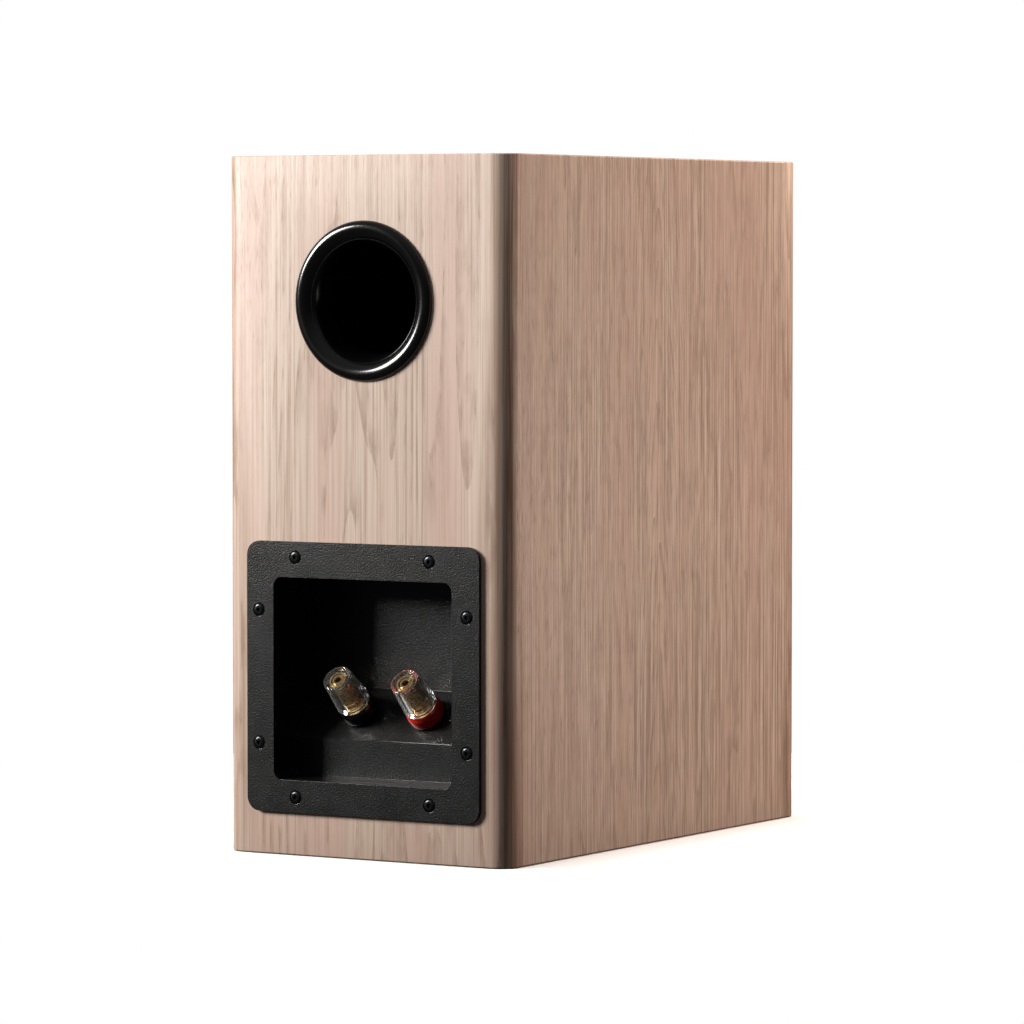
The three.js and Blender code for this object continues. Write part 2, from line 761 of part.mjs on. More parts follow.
function buildWoofer() {
  const group = assembly(0, frontY, wooferZ);
  const w = woofer;
  const legInner = w.legOuterRadius - w.legThickness;
  const seatInner = w.spiderOuterRadius + GAP;
  const spiderFoot = w.spiderOuterRadius - w.spiderLedge;
  const ringFront = w.backDepth - w.backThickness;
  const basketProfile = [
    [w.flangeRadius, 0],
    [w.flangeRadius, w.flangeThickness],
    [w.legOuterRadius, w.flangeThickness],
    [seatInner + w.castWall, w.spiderSeatDepth],
    [w.backRadius, w.spiderSeatDepth + w.castWall],
    [w.backRadius, w.backDepth],
    [w.backHoleRadius, w.backDepth],
    [w.backHoleRadius, ringFront],
    [spiderFoot, ringFront],
    [spiderFoot, w.spiderSeatDepth],
    [seatInner, w.spiderSeatDepth],
    [seatInner, w.spiderSeatDepth - w.backThickness],
    [legInner, w.flangeThickness],
    [w.ledgeRadius, w.flangeThickness - w.flangeRelief],
    [w.ledgeRadius, w.ledgeDepth],
    [w.ledgeOuterRadius, w.ledgeDepth],
    [w.ledgeOuterRadius, 0],
  ];
  const low = [-w.windowWidth / 2, w.windowFront, spiderFoot];
  const high = [w.windowWidth / 2, w.windowBack, w.flangeRadius];
  const windows = Array.from({ length: w.windows }, (_, i) =>
    block(low, high).rotateY(((i + 0.5) * 2 * Math.PI) / w.windows),
  );
  piece('woofer_basket', shaped([turned(basketProfile, SEGMENTS.large)], windows), finish.castMetal, group);

  const footTop = w.ledgeDepth - GAP - w.surroundThickness;
  const rollCentre = (w.surroundRollInner + w.surroundRollOuter) / 2;
  const rollHalf = (w.surroundRollOuter - w.surroundRollInner) / 2;
  const surroundLine = [
    [w.surroundInnerRadius, footTop],
    ...arc([rollCentre, footTop], rollHalf, w.surroundHeight + footTop, 180, 360, 6),
    [w.ledgeOuterRadius - GAP, footTop],
  ];
  const surround = turned(skin(surroundLine, w.surroundThickness), SEGMENTS.large);
  piece('woofer_surround', surround, finish.rubber, group);

  const coneFront = footTop + w.surroundThickness + GAP;
  const neck = w.coilRadius + GAP;
  const coneDrop = w.coneNeckDepth - coneFront;
  const coneRun = w.surroundInnerRadius - neck;
  const coneLine = [
    [w.coneEdgeRadius, coneFront],
    ...Array.from({ length: 5 }, (_, i) => {
      const share = i / 4;
      return [w.surroundInnerRadius - coneRun * share, coneFront + coneDrop * share ** w.coneCurve];
    }),
  ];
  piece('woofer_cone', turned(skin(coneLine, w.coneThickness), SEGMENTS.large), finish.paperCone, group);

  const rim = (w.surroundInnerRadius - w.capRadius) / coneRun;
  const capFoot = coneFront + coneDrop * rim ** w.coneCurve - GAP - w.coneThickness;
  piece('woofer_dust_cap', dome(w.capRadius, w.capRise, w.capThickness, capFoot), finish.rubber, group);

  const plateBack = w.backDepth + GAP + w.topPlateThickness;
  const coilEnd = w.backDepth + GAP + (w.topPlateThickness + w.coilLength) / 2;
  const formerInner = w.formerRadius - w.formerThickness;
  const coil = [
    [formerInner, w.coneNeckDepth],
    [w.formerRadius, w.coneNeckDepth],
    [w.formerRadius, coilEnd - w.coilLength],
    [w.coilRadius, coilEnd - w.coilLength],
    [w.coilRadius, coilEnd],
    [formerInner, coilEnd],
  ];
  piece('woofer_voice_coil', turned(coil), finish.copper, group);

  const spiderY = w.spiderSeatDepth - GAP - w.spiderThickness;
  const spiderStart = w.formerRadius + GAP;
  const waveEnd = spiderFoot - 1;
  const waveSteps = w.spiderWaves * 2;
  const spiderLine = [
    ...Array.from({ length: waveSteps + 1 }, (_, i) => [
      spiderStart + ((waveEnd - spiderStart) * i) / waveSteps,
      spiderY - (i % 2 ? w.spiderWaveHeight : 0),
    ]),
    [w.spiderOuterRadius, spiderY],
  ];
  piece('woofer_spider', turned(skin(spiderLine, w.spiderThickness)), finish.spiderCloth, group);

  piece(
    'woofer_top_plate',
    ring(w.topPlateRadius, w.gapOuterRadius, w.backDepth + GAP, plateBack),
    finish.steel,
    group,
  );
  const magnetFront = plateBack + GAP;
  const magnetBack = magnetFront + w.magnetThickness;
  const magnet = ring(w.magnetRadius, w.magnetInnerRadius, magnetFront, magnetBack);
  piece('woofer_magnet', magnet, finish.ferrite, group);
  const yokeFront = magnetBack + GAP;
  const yoke = [
    [w.ventRadius, w.backDepth],
    [w.poleRadius, w.backDepth],
    [w.poleRadius, yokeFront],
    [w.yokeRadius, yokeFront],
    [w.yokeRadius, yokeFront + w.yokeThickness],
    [w.ventRadius, yokeFront + w.yokeThickness],
  ];
  piece('woofer_yoke', turned(yoke), finish.steel, group);
}

// ---------------------------------------------------------------------------------------------
// Tweeter; distances run inwards from the front of the baffle
// ---------------------------------------------------------------------------------------------

function buildTweeter() {
  const group = assembly(0, frontY, tweeterZ);
  const t = tweeter;
  const faceplate = [
    [t.plateRadius, 0],
    [t.plateRadius, t.plateThickness],
    [t.mouthRadius, t.plateThickness],
    [t.mouthRadius, t.mouthDepth],
    [t.guideRadius, 0],
  ];
  piece('tweeter_faceplate', turned(faceplate, SEGMENTS.large), finish.blackPlastic, group);

  piece('tweeter_dome', dome(t.domeRadius, t.domeRise, t.domeThickness, t.domeBaseDepth), finish.silk, group);

  const rollFoot = t.domeBaseDepth;
  const rollStart = t.domeRadius + GAP;
  const rollCentre = (rollStart + t.surroundRollRadius) / 2;
  const rollLine = [
    ...arc([rollCentre, rollFoot], (t.surroundRollRadius - rollStart) / 2, t.surroundHeight, 180, 360, 4),
    [t.surroundFootRadius, rollFoot],
  ];
  piece('tweeter_surround', turned(skin(rollLine, t.surroundThickness)), finish.silk, group);

  const coilFront = t.domeBaseDepth + GAP;
  const coil = ring(t.coilRadius, t.coilRadius - t.coilThickness, coilFront, coilFront + t.coilLength);
  piece('tweeter_voice_coil', coil, finish.copper, group);

  const plateBack = t.topPlateDepth + t.topPlateThickness;
  const topPlate = ring(t.topPlateRadius, t.gapOuterRadius, t.topPlateDepth, plateBack);
  piece('tweeter_top_plate', topPlate, finish.steel, group);
  const magnetFront = plateBack + GAP;
  const magnetBack = magnetFront + t.magnetThickness;
  const magnet = ring(t.magnetRadius, t.magnetInnerRadius, magnetFront, magnetBack);
  piece('tweeter_magnet', magnet, finish.ferrite, group);
  const yokeFront = magnetBack + GAP;
  const yokeBack = yokeFront + t.yokeThickness;
  const yoke = [
    [0, t.topPlateDepth],
    [t.poleRadius, t.topPlateDepth],
    [t.poleRadius, yokeFront],
    [t.yokeRadius, yokeFront],
    [t.yokeRadius, yokeBack],
    [0, yokeBack],
  ];
  piece('tweeter_yoke', turned(yoke), finish.steel, group);
  const chamberFront = yokeBack + GAP;
  const chamberBack = chamberFront + t.chamberDepth;
  const chamber = [
    [0, chamberBack],
    [t.chamberRadius, chamberBack],
    [t.chamberRadius, chamberFront],
    [t.chamberRadius - t.chamberWall, chamberFront],
    [t.chamberRadius - t.chamberWall, chamberBack - t.chamberWall],
    [0, chamberBack - t.chamberWall],
  ];
  piece('tweeter_rear_chamber', turned(chamber), finish.blackPlastic, group);
}

// ---------------------------------------------------------------------------------------------
// Crossover and internal leads
// ---------------------------------------------------------------------------------------------

const boardPlace = {
  y: innerFrontY + crossover.behindBaffle + crossover.boardDepth / 2,
  z: cabinet.bottom + GAP + crossover.standoff,
};
const boardTop = boardPlace.z + crossover.boardThickness;

function buildCrossover() {
  const group = assembly(0, boardPlace.y, 0);
  const c = crossover;
  const [halfX, halfY] = [c.boardWidth / 2, c.boardDepth / 2];
  const board = block([-halfX, -halfY, boardPlace.z], [halfX, halfY, boardTop]);
  const legs = [-1, 1].flatMap((sx) =>
    [-1, 1].map((sy) =>
      rod(c.standoffRadius, 0, c.standoff + c.boardThickness / 2, 10)
        .rotateX(Math.PI / 2)
        .translate(sx * (halfX - c.standoffInset), sy * (halfY - c.standoffInset), cabinet.bottom + GAP),
    ),
  );
  piece('crossover_board', shaped([board, ...legs]), finish.circuitBoard, group);

  const floor = boardTop + GAP;
  const coils = [['woofer_filter_coil', c.wooferCoil], ['tweeter_filter_coil', c.tweeterCoil]];
  for (const [name, coil] of coils) {
    const winding = ring(coil.outer, coil.inner, 0, coil.height).rotateX(Math.PI / 2);
    piece(name, winding, finish.copper, group).position.set(coil.x, coil.y, floor);
  }
  const cans = [['woofer_capacitor', c.wooferCapacitor], ['tweeter_capacitor', c.tweeterCapacitor]];
  for (const [name, can] of cans) {
    const body = rod(can.radius, -can.length / 2, can.length / 2, 20).rotateZ(Math.PI / 2);
    piece(name, body, finish.film, group).position.set(can.x, can.y, floor + can.radius);
  }
  const r = c.resistor;
  const brick = block([-r.length / 2, -r.width / 2, 0], [r.length / 2, r.width / 2, r.height]);
  piece('tweeter_resistor', brick, finish.cement, group).position.set(r.x, r.y, floor);
}

/** A round lead along a smooth curve through its points. */
function buildLead(name, points, look) {
  const section = new THREE.Shape().absarc(0, 0, lead.radius, 0, Math.PI * 2);
  const path = new THREE.CatmullRomCurve3(points.map((p) => new THREE.Vector3(...p)));
  const geometry = new THREE.ExtrudeGeometry(section, {
    steps: lead.steps,
    curveSegments: lead.sides / 2,
    extrudePath: path,
  });
  piece(name, geometry, look);
}

function buildLeads() {
  const rise = lead.radius + GAP;
  const boardFront = boardPlace.y - crossover.boardDepth / 2;
  const boardBack = boardPlace.y + crossover.boardDepth / 2;
  const padZ = boardTop + rise;
  const wooferTag = { y: frontY + woofer.backDepth + 2, z: wooferZ - woofer.topPlateRadius - rise - 8 };
  buildLead(
    'woofer_lead',
    [
      [-8, boardFront + 10, padZ],
      [-8, boardFront + 2, padZ + 14],
      [-6, wooferTag.y + 14, (padZ + wooferTag.z) / 2],
      [-2, wooferTag.y + 8, wooferTag.z - 16],
      [0, wooferTag.y, wooferTag.z],
    ],
    finish.blackLead,
  );
  const tweeterTag = {
    y: frontY + tweeter.topPlateDepth + 18,
    z: tweeterZ - tweeter.magnetRadius - rise - 4,
  };
  const besideWoofer = woofer.magnetRadius + rise + 6;
  buildLead(
    'tweeter_lead',
    [
      [besideWoofer, boardPlace.y, padZ],
      [besideWoofer, boardPlace.y + 4, padZ + 24],
      [besideWoofer, innerFrontY + 84, wooferZ - 40],
      [besideWoofer, innerFrontY + 84, wooferZ + 30],
      [besideWoofer - 8, innerFrontY + 80, braceZ],
      [besideWoofer - 26, innerFrontY + 56, braceZ + brace.thickness + 10],
      [8, tweeterTag.y + 26, tweeterTag.z - 2],
      [0, tweeterTag.y + 8, tweeterTag.z],
    ],
    finish.redLead,
  );
  const along = (distance) => [
    postFoot.y + distance * Math.cos(tilt),
    postFoot.z + distance * Math.sin(tilt),
  ];
  const studEnd = -tray.wall - post.studBehind;
  const looks = { red: finish.redLead, black: finish.blackLead };
  for (const [colour, x] of Object.entries(postPlaces)) {
    const inward = x * 0.6;
    buildLead(
      `${colour}_input_lead`,
      [
        [x, ...along(studEnd - GAP)],
        [x, ...along(studEnd - 8)],
        [x, boardBack + 44, padZ + 20],
        [inward, boardBack + 18, padZ + 4],
        [inward, boardBack - 6, padZ],
      ],
      looks[colour],
    );
  }
}

// ---------------------------------------------------------------------------------------------
// The whole speaker
// ---------------------------------------------------------------------------------------------

buildFrontBaffle();
buildRearPanel();
buildShellPanels();
buildBrace();
buildWadding();
buildPort();
buildTray();
buildGasket();
buildTerminalScrews();
buildBindingPost('red', finish.glossRed);
buildBindingPost('black', finish.glossBlack);
buildWoofer();
buildTweeter();
buildCrossover();
buildLeads();

export default speaker;
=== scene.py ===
"""Two-way rear-ported bookshelf loudspeaker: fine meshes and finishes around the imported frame.

Frame: metres, +Z up, origin at the bottom centre of the cabinet. The drivers look along -Y, and the
port and the terminal tray open towards +Y. Sizes in the classes are millimetres.
"""

from __future__ import annotations

import json
import logging
import math
from dataclasses import dataclass
from enum import Enum

import bmesh
import bpy
from mathutils import Matrix, Vector, noise

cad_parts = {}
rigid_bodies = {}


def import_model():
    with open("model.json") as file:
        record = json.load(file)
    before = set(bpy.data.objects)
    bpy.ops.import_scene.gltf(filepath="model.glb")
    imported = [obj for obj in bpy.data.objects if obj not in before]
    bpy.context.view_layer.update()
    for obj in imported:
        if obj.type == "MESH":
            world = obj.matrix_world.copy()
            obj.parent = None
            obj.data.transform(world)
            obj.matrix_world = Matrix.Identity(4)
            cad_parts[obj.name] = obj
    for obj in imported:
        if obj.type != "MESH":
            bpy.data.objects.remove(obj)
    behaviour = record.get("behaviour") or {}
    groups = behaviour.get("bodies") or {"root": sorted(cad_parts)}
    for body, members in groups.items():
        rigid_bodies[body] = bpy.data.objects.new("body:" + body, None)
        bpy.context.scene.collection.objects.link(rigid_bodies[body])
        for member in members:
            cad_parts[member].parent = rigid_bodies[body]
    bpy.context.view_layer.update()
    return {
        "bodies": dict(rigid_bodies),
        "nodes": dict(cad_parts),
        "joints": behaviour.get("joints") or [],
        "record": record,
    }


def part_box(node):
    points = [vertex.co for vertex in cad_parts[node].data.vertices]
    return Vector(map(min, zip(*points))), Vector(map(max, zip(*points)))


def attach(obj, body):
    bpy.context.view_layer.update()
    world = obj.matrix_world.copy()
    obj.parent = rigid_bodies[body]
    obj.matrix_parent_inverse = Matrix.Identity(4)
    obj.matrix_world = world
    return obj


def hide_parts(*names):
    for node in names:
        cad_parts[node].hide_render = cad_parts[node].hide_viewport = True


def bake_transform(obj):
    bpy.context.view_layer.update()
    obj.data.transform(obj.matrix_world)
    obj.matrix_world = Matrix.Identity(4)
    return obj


LOG = logging.getLogger("bookshelf_speaker")
MM = 0.001
Point = tuple[float, float]
Triple = tuple[float, float, float]
Tree = bpy.types.NodeTree
Socket = bpy.types.NodeSocket
Mesh = bpy.types.Mesh

MATH = "ShaderNodeMath"
MIX = "ShaderNodeMix"
RAMP = "ShaderNodeValToRGB"
RANGE = "ShaderNodeMapRange"
VECTOR_MATH = "ShaderNodeVectorMath"
WAVE = "ShaderNodeTexWave"
# Waves set with this repeat 2 pi times the asked spacing, coarse enough to show from across a room.
WAVE_SCALE = 1 / 20


class Grain(Enum):
    """Which way the grain of the veneer runs."""

    UPRIGHT = "upright"
    ACROSS = "across"


class Axis(Enum):
    """Which way a slab is extruded, with the columns that its outline's u, v and its depth fill."""

    X = (1, 2, 0)
    Y = (0, 2, 1)
    Z = (0, 1, 2)


class Pole(Enum):
    """The two binding posts."""

    RED = "red"
    BLACK = "black"


# ---------------------------------------------------------------------------------------------
# Materials
# ---------------------------------------------------------------------------------------------


def linear(hex_code: str) -> tuple[float, float, float, float]:
    """Turns an sRGB hex colour into linear RGBA.

    Args:
        hex_code: Six hex digits, with or without a leading #.

    Returns:
        The linear colour with full opacity.
    """
    digits = hex_code.lstrip("#")
    channels = [int(digits[i : i + 2], 16) / 255 for i in (0, 2, 4)]
    low = [c / 12.92 if c <= 0.04045 else ((c + 0.055) / 1.055) ** 2.4 for c in channels]
    return (low[0], low[1], low[2], 1.0)


def add_node(
    tree: Tree,
    kind: str,
    inputs: dict[str | int, object] | list[object] | None = None,
    stops: list[tuple[float, str]] | None = None,
    **options: object,
) -> bpy.types.Node:
    """Adds a node with its options, values and links.

    Args:
        tree: The node tree it goes into.
        kind: The node's type name.
        inputs: Values, sockets or nodes by input name or number, or as a list in the inputs' order.
            A node stands for its first output.
        stops: Places and hex colours of a colour ramp.
        options: Attributes of the node.

    Returns:
        The new node.
    """
    node = tree.nodes.new(kind)
    for key, value in options.items():
        setattr(node, key, value)
    pairs = inputs.items() if isinstance(inputs, dict) else enumerate(inputs or [])
    for key, value in pairs:
        source = value.outputs[0] if isinstance(value, bpy.types.Node) else value
        if isinstance(source, Socket):
            tree.links.new(source, node.inputs[key])
        else:
            node.inputs[key].default_value = source
    for number, (place, hex_code) in enumerate(stops or []):
        elements = node.color_ramp.elements
        element = elements[number] if number < len(elements) else elements.new(place)
        element.position = place
        element.color = linear(hex_code)
    return node


def noise_at(tree: Tree, vector: Socket, cell: Triple, **values: float) -> Socket:
    """Samples noise whose cells have a real size.

    Args:
        tree: The node tree.
        vector: Place on the piece, in metres.
        cell: Cell size along X, Y and Z in millimetres.
        values: Other inputs of the noise, such as Detail.

    Returns:
        The noise value's output socket.
    """
    scale = tuple(1 / (size * MM) for size in cell)
    spread = add_node(tree, "ShaderNodeMapping", {"Vector": vector, "Scale": scale})
    inputs = {"Vector": spread, "Scale": 1.0, **values}
    return add_node(tree, "ShaderNodeTexNoise", inputs).outputs["Fac"]


@dataclass(frozen=True)
class Finish:
    """A surface with its plain settings; the subclasses add what the eye sees close up."""

    name: str
    colour: str
    roughness: float
    metallic: float = 0.0
    ior: float = 1.5

    def material(self) -> bpy.types.Material:
        """Gives the material, made on first use.

        Returns:
            The material.
        """
        made = bpy.data.materials.get(self.name)
        if made:
            return made
        made = bpy.data.materials.new(self.name)
        made.use_nodes = True
        tree = made.node_tree
        shader = tree.nodes["Principled BSDF"]
        shader.inputs["Base Color"].default_value = linear(self.colour)
        shader.inputs["Roughness"].default_value = self.roughness
        shader.inputs["Metallic"].default_value = self.metallic
        shader.inputs["IOR"].default_value = self.ior
        place = add_node(tree, "ShaderNodeTexCoord").outputs["Object"]
        self.pattern(tree, shader, place)
        return made

    def pattern(self, tree: Tree, shader: bpy.types.Node, place: Socket) -> None:
        """Adds the colour, roughness and relief that vary over the surface."""

    def relief(
        self, tree: Tree, shader: bpy.types.Node, height: Socket, depth: float, strength: float = 1.0
    ) -> None:
        """Raises the surface by a height map.

        Args:
            tree: The node tree.
            shader: The shader whose normal is bent.
            height: Height from 0 to 1.
            depth: Depth of the relief in millimetres.
            strength: Share of the relief that shows.
        """
        inputs = {"Height": height, "Distance": depth * MM, "Strength": strength}
        bump = add_node(tree, "ShaderNodeBump", inputs)
        tree.links.new(bump.outputs["Normal"], shader.inputs["Normal"])

    def vary(self, tree: Tree, shader: bpy.types.Node, amount: Socket, other: str, swing: float) -> None:
        """Lets colour and roughness drift with a noise value.

        Args:
            tree: The node tree.
            shader: The shader to dress.
            amount: Noise from 0 to 1.
            other: The hex colour at the far end of the drift.
            swing: How far the roughness moves either way.
        """
        start, end = 0.3, 0.7
        colour = add_node(tree, RAMP, [amount], [(start, self.colour), (end, other)])
        tree.links.new(colour.outputs["Color"], shader.inputs["Base Color"])
        levels = [amount, start, end, self.roughness - swing, self.roughness + swing]
        spread = add_node(tree, RANGE, levels)
        tree.links.new(spread.outputs["Result"], shader.inputs["Roughness"])


@dataclass(frozen=True)
class OakVeneer(Finish):
    """Flat-sliced oak veneer under satin lacquer: arched growth rings, fine fibres and open pores.

    Sizes of marks are (across the grain, along the grain) in millimetres. Fibres and pores are
    drawn a few times coarser than real ones, so that they show from across a room.
    """

    grain: Grain = Grain.UPRIGHT
    dark: str = "84634c"
    pale: str = "d8c8b9"
    rosy: str = "bf9f90"
    # Colour of the dark corner streak: partly a dark streak in the veneer, partly painted shade on the rounded rear
    # corner at -X.
    heart_and_shade: str = "85553a"
    coat_weight: float = 0.25
    coat_roughness: float = 0.48
    ring_mm: Point = (62.0, 820.0)
    rings: float = 17.0
    ring_share: float = 0.55
    fibre_mm: Point = (1.5, 170.0)
    face_swing: Point = (0.7, 2.1)
    pore_mm: Point = (0.6, 11.0)
    pore_share: float = 0.75
    patch_mm: Point = (5.0, 30.0)
    drift_mm: Point = (34.0, 300.0)
    drift_share: float = 0.6
    # Place, width, strength and sway of the dark streak down the rounded rear corner at -X: a real streak in the
    # veneer, widened into painted shade where the light from the rear and from the side both fall off.
    heart_and_shade_at: Point = (-104.5, 176.5)
    heart_and_shade_width: Point = (2.0, 24.0)
    heart_and_shade_share: float = 0.55
    heart_and_shade_sway: float = 4.0
    arch_at: float = 2.0
    arch_mm: Point = (20.0, 150.0)
    arch_step: float = 42.0
    arch_bow: float = 1.5
    arch_sway: float = 220.0
    arch_share: float = 0.85

    def cell(self, size: Point) -> Triple:
        """Turns the size of a mark into a noise cell that lies along the grain.

        Args:
            size: Its width across and its length along the grain.

        Returns:
            The cell's size along X, Y and Z.
        """
        across, along = size
        if self.grain is Grain.ACROSS:
            return (along, across, across)
        return (across, across, along)

    def pattern(self, tree: Tree, shader: bpy.types.Node, place: Socket) -> None:
        """Lays rings, arches, pores and one dark streak over the fibres; the streak is partly a real dark streak in the
        veneer and partly painted shade down the rounded rear corner at -X.

        Args:
            tree: The node tree.
            shader: The shader to dress.
            place: Place on the piece, in metres.
        """
        shader.inputs["Coat Weight"].default_value = self.coat_weight
        shader.inputs["Coat Roughness"].default_value = self.coat_roughness
        side = self.side_share(tree)
        drift = noise_at(tree, place, self.cell(self.drift_mm), Detail=1.0)
        dashes = noise_at(tree, place, self.cell(self.patch_mm), Detail=2.0)
        patch = add_node(tree, RANGE, [dashes, 0.42, 0.60, 0.15, 1.0])
        ring = add_node(tree, MATH, [self.rings_at(tree, place), patch], operation="MULTIPLY")
        arched = add_node(tree, MATH, [self.arches(tree, place), side], operation="MULTIPLY")
        arch = add_node(tree, MATH, [arched, patch], operation="MULTIPLY")
        pores = noise_at(tree, place, self.cell(self.pore_mm), Detail=1.0)
        open_pore = add_node(tree, RANGE, [pores, 0.31, 0.38, 1.0, 0.0])
        pore = add_node(tree, MATH, [open_pore, ring], operation="MULTIPLY")
        layers = [
            (add_node(tree, RANGE, [drift, 0.40, 0.62, 0.0, self.drift_share]), self.rosy),
            (add_node(tree, RANGE, [ring, 0.0, 1.0, 0.0, self.ring_share]), self.dark),
            (add_node(tree, RANGE, [arch, 0.0, 1.0, 0.0, self.arch_share]), self.dark),
            (add_node(tree, RANGE, [pore, 0.0, 1.0, 0.0, self.pore_share]), self.dark),
            # Painted shade over a real streak: the dark band down the rounded rear corner at -X.
            (self.heart_streak_and_shade(tree, place), self.heart_and_shade),
        ]
        wood = self.fibres(tree, place, side)
        for share, over in layers:
            wood = add_node(tree, MIX, {0: share, 6: wood, 7: linear(over)}, data_type="RGBA").outputs[2]
        tree.links.new(wood, shader.inputs["Base Color"])
        dull = add_node(tree, RANGE, [pores, 0.31, 0.45, self.roughness + 0.2, self.roughness])
        tree.links.new(dull.outputs["Result"], shader.inputs["Roughness"])
        self.relief(tree, shader, pores, 0.05, 0.3)

    def fibres(self, tree: Tree, place: Socket, side: Socket) -> Socket:
        """Colours the fine fibres, calmer on the rear and stronger on the sides.

        Args:
            tree: The node tree.
            place: Place on the piece, in metres.
            side: Share by which the face looks sideways.

        Returns:
            The colour's output socket.
        """
        fibre = noise_at(tree, place, self.cell(self.fibre_mm), Detail=3.0, Roughness=0.6)
        swing = add_node(tree, RANGE, [side, 0.0, 1.0, *self.face_swing])
        from_middle = add_node(tree, MATH, [fibre, 0.5], operation="SUBTRACT")
        swung = add_node(tree, MATH, [from_middle, swing, 0.5], operation="MULTIPLY_ADD")
        stops = [(0.26, self.dark), (0.50, self.colour), (0.76, self.pale)]
        return add_node(tree, RAMP, [swung], stops).outputs["Color"]

    def rings_at(self, tree: Tree, place: Socket) -> Socket:
        """Late-wood share of the growth rings, as level lines of a long slow noise.

        Args:
            tree: The node tree.
            place: Place on the piece, in metres.

        Returns:
            The share's output socket.
        """
        field = noise_at(tree, place, self.cell(self.ring_mm), Detail=1.6, Roughness=0.45)
        count = add_node(tree, MATH, [field, self.rings], operation="MULTIPLY")
        ring = add_node(tree, MATH, [count], operation="FRACT")
        return add_node(tree, RANGE, [ring, 0.45, 0.96, 0.0, 1.0]).outputs["Result"]

    def side_share(self, tree: Tree) -> Socket:
        """How far a point of the cabinet faces sideways, from 0 on the rear to 1 on a side.

        Args:
            tree: The node tree.

        Returns:
            The share's output socket.
        """
        facing = add_node(tree, "ShaderNodeNewGeometry").outputs["Normal"]
        across = add_node(tree, "ShaderNodeSeparateXYZ", [facing]).outputs["X"]
        turned_out = add_node(tree, MATH, [across], operation="ABSOLUTE")
        return add_node(tree, RANGE, [turned_out, 0.55, 1.0, 0.0, 1.0]).outputs["Result"]

    def arches(self, tree: Tree, place: Socket) -> Socket:
        """Late-wood share of the crown figure on a side: tall arches with close lines beside them.

        Args:
            tree: The node tree.
            place: Place on the piece, in metres.

        Returns:
            The share's output socket.
        """
        across, rise = (value * MM for value in self.arch_mm)
        steep = rise / across**self.arch_bow
        spots = add_node(tree, "ShaderNodeSeparateXYZ", [place]).outputs
        off = add_node(tree, MATH, [spots["Y"], self.arch_at * MM], operation="SUBTRACT")
        away = add_node(tree, MATH, [off], operation="ABSOLUTE")
        bow = add_node(tree, MATH, [away, self.arch_bow], operation="POWER")
        level = add_node(tree, MATH, [bow, steep, spots["Z"]], operation="MULTIPLY_ADD")
        sway = noise_at(tree, place, self.cell((24.0, 190.0)), Detail=2.0)
        swayed = add_node(tree, MATH, [sway, self.arch_sway * MM, level], operation="MULTIPLY_ADD")
        count = add_node(tree, MATH, [swayed, self.arch_step * MM], operation="DIVIDE")
        ring = add_node(tree, MATH, [count], operation="FRACT")
        return add_node(tree, RANGE, [ring, 0.4, 0.97, 0.0, 1.0]).outputs["Result"]

    def heart_streak_and_shade(self, tree: Tree, place: Socket) -> Socket:
        """Share of the dark streak that wanders down one edge of the cabinet: partly a dark streak in the veneer,
        partly painted shade on the rounded corner between the lit rear and the lit side.

        Args:
            tree: The node tree.
            place: Place on the piece, in metres.

        Returns:
            The share's output socket.
        """
        x, y = (value * MM for value in self.heart_and_shade_at)
        core, edge = (value * MM for value in self.heart_and_shade_width)
        reach = self.heart_and_shade_sway * MM
        sway = noise_at(tree, place, (60.0, 60.0, 45.0), Detail=2.0)
        shift = add_node(tree, RANGE, [sway, 0.3, 0.7, -reach, reach])
        moved_y = add_node(tree, "ShaderNodeCombineXYZ", {"Y": shift})
        near = add_node(tree, VECTOR_MATH, [place, moved_y], operation="ADD")
        level = [near, (1.0, 1.0, 0.0), (-x, -y, 0.0)]
        flat = add_node(tree, VECTOR_MATH, level, operation="MULTIPLY_ADD")
        away = add_node(tree, VECTOR_MATH, [flat], operation="LENGTH").outputs["Value"]
        share = add_node(tree, RANGE, [away, core, edge, self.heart_and_shade_share, 0.0])
        lines = noise_at(tree, place, self.cell((1.2, 60.0)), Detail=2.0)
        streaks = add_node(tree, RANGE, [lines, 0.35, 0.6, 1.0, 0.45])
        return add_node(tree, MATH, [share, streaks], operation="MULTIPLY").outputs[0]


@dataclass(frozen=True)
class Moulded(Finish):
    """Moulded or coated surface: an even skin with a fine grain from its tool."""

    other: str = "202020"
    grain_mm: float = 0.8
    depth_mm: float = 0.03
    swing: float = 0.05

    def pattern(self, tree: Tree, shader: bpy.types.Node, place: Socket) -> None:
        """Adds a slow drift in tone and gloss, and the tool's fine grain as relief.

        Args:
            tree: The node tree.
            shader: The shader to dress.
            place: Place on the piece, in metres.
        """
        drift = noise_at(tree, place, (self.grain_mm * 14,) * 3, Detail=3.0)
        self.vary(tree, shader, drift, self.other, self.swing)
        grain = noise_at(tree, place, (self.grain_mm,) * 3, Detail=2.0)
        self.relief(tree, shader, grain, self.depth_mm)


@dataclass(frozen=True)
class Turned(Finish):
    """Machined metal: rings left by the tool about the piece's own Y axis.

    The rings are drawn about six times coarser than their real spacing, so that they show.
    """

    other: str = "808080"
    ring_mm: float = 0.5
    depth_mm: float = 0.01
    swing: float = 0.08

    def pattern(self, tree: Tree, shader: bpy.types.Node, place: Socket) -> None:
        """Adds tool rings as relief and handling marks in the gloss.

        Args:
            tree: The node tree.
            shader: The shader to dress.
            place: Place on the piece, in metres.
        """
        marks = noise_at(tree, place, (1.6, 0.4, 1.6), Detail=3.0)
        self.vary(tree, shader, marks, self.other, self.swing)
        inputs = {"Vector": place, "Scale": WAVE_SCALE / (self.ring_mm * MM), "Distortion": 0.6}
        rings = add_node(tree, WAVE, inputs, wave_type="RINGS", rings_direction="Y")
        self.relief(tree, shader, rings.outputs["Fac"], self.depth_mm)


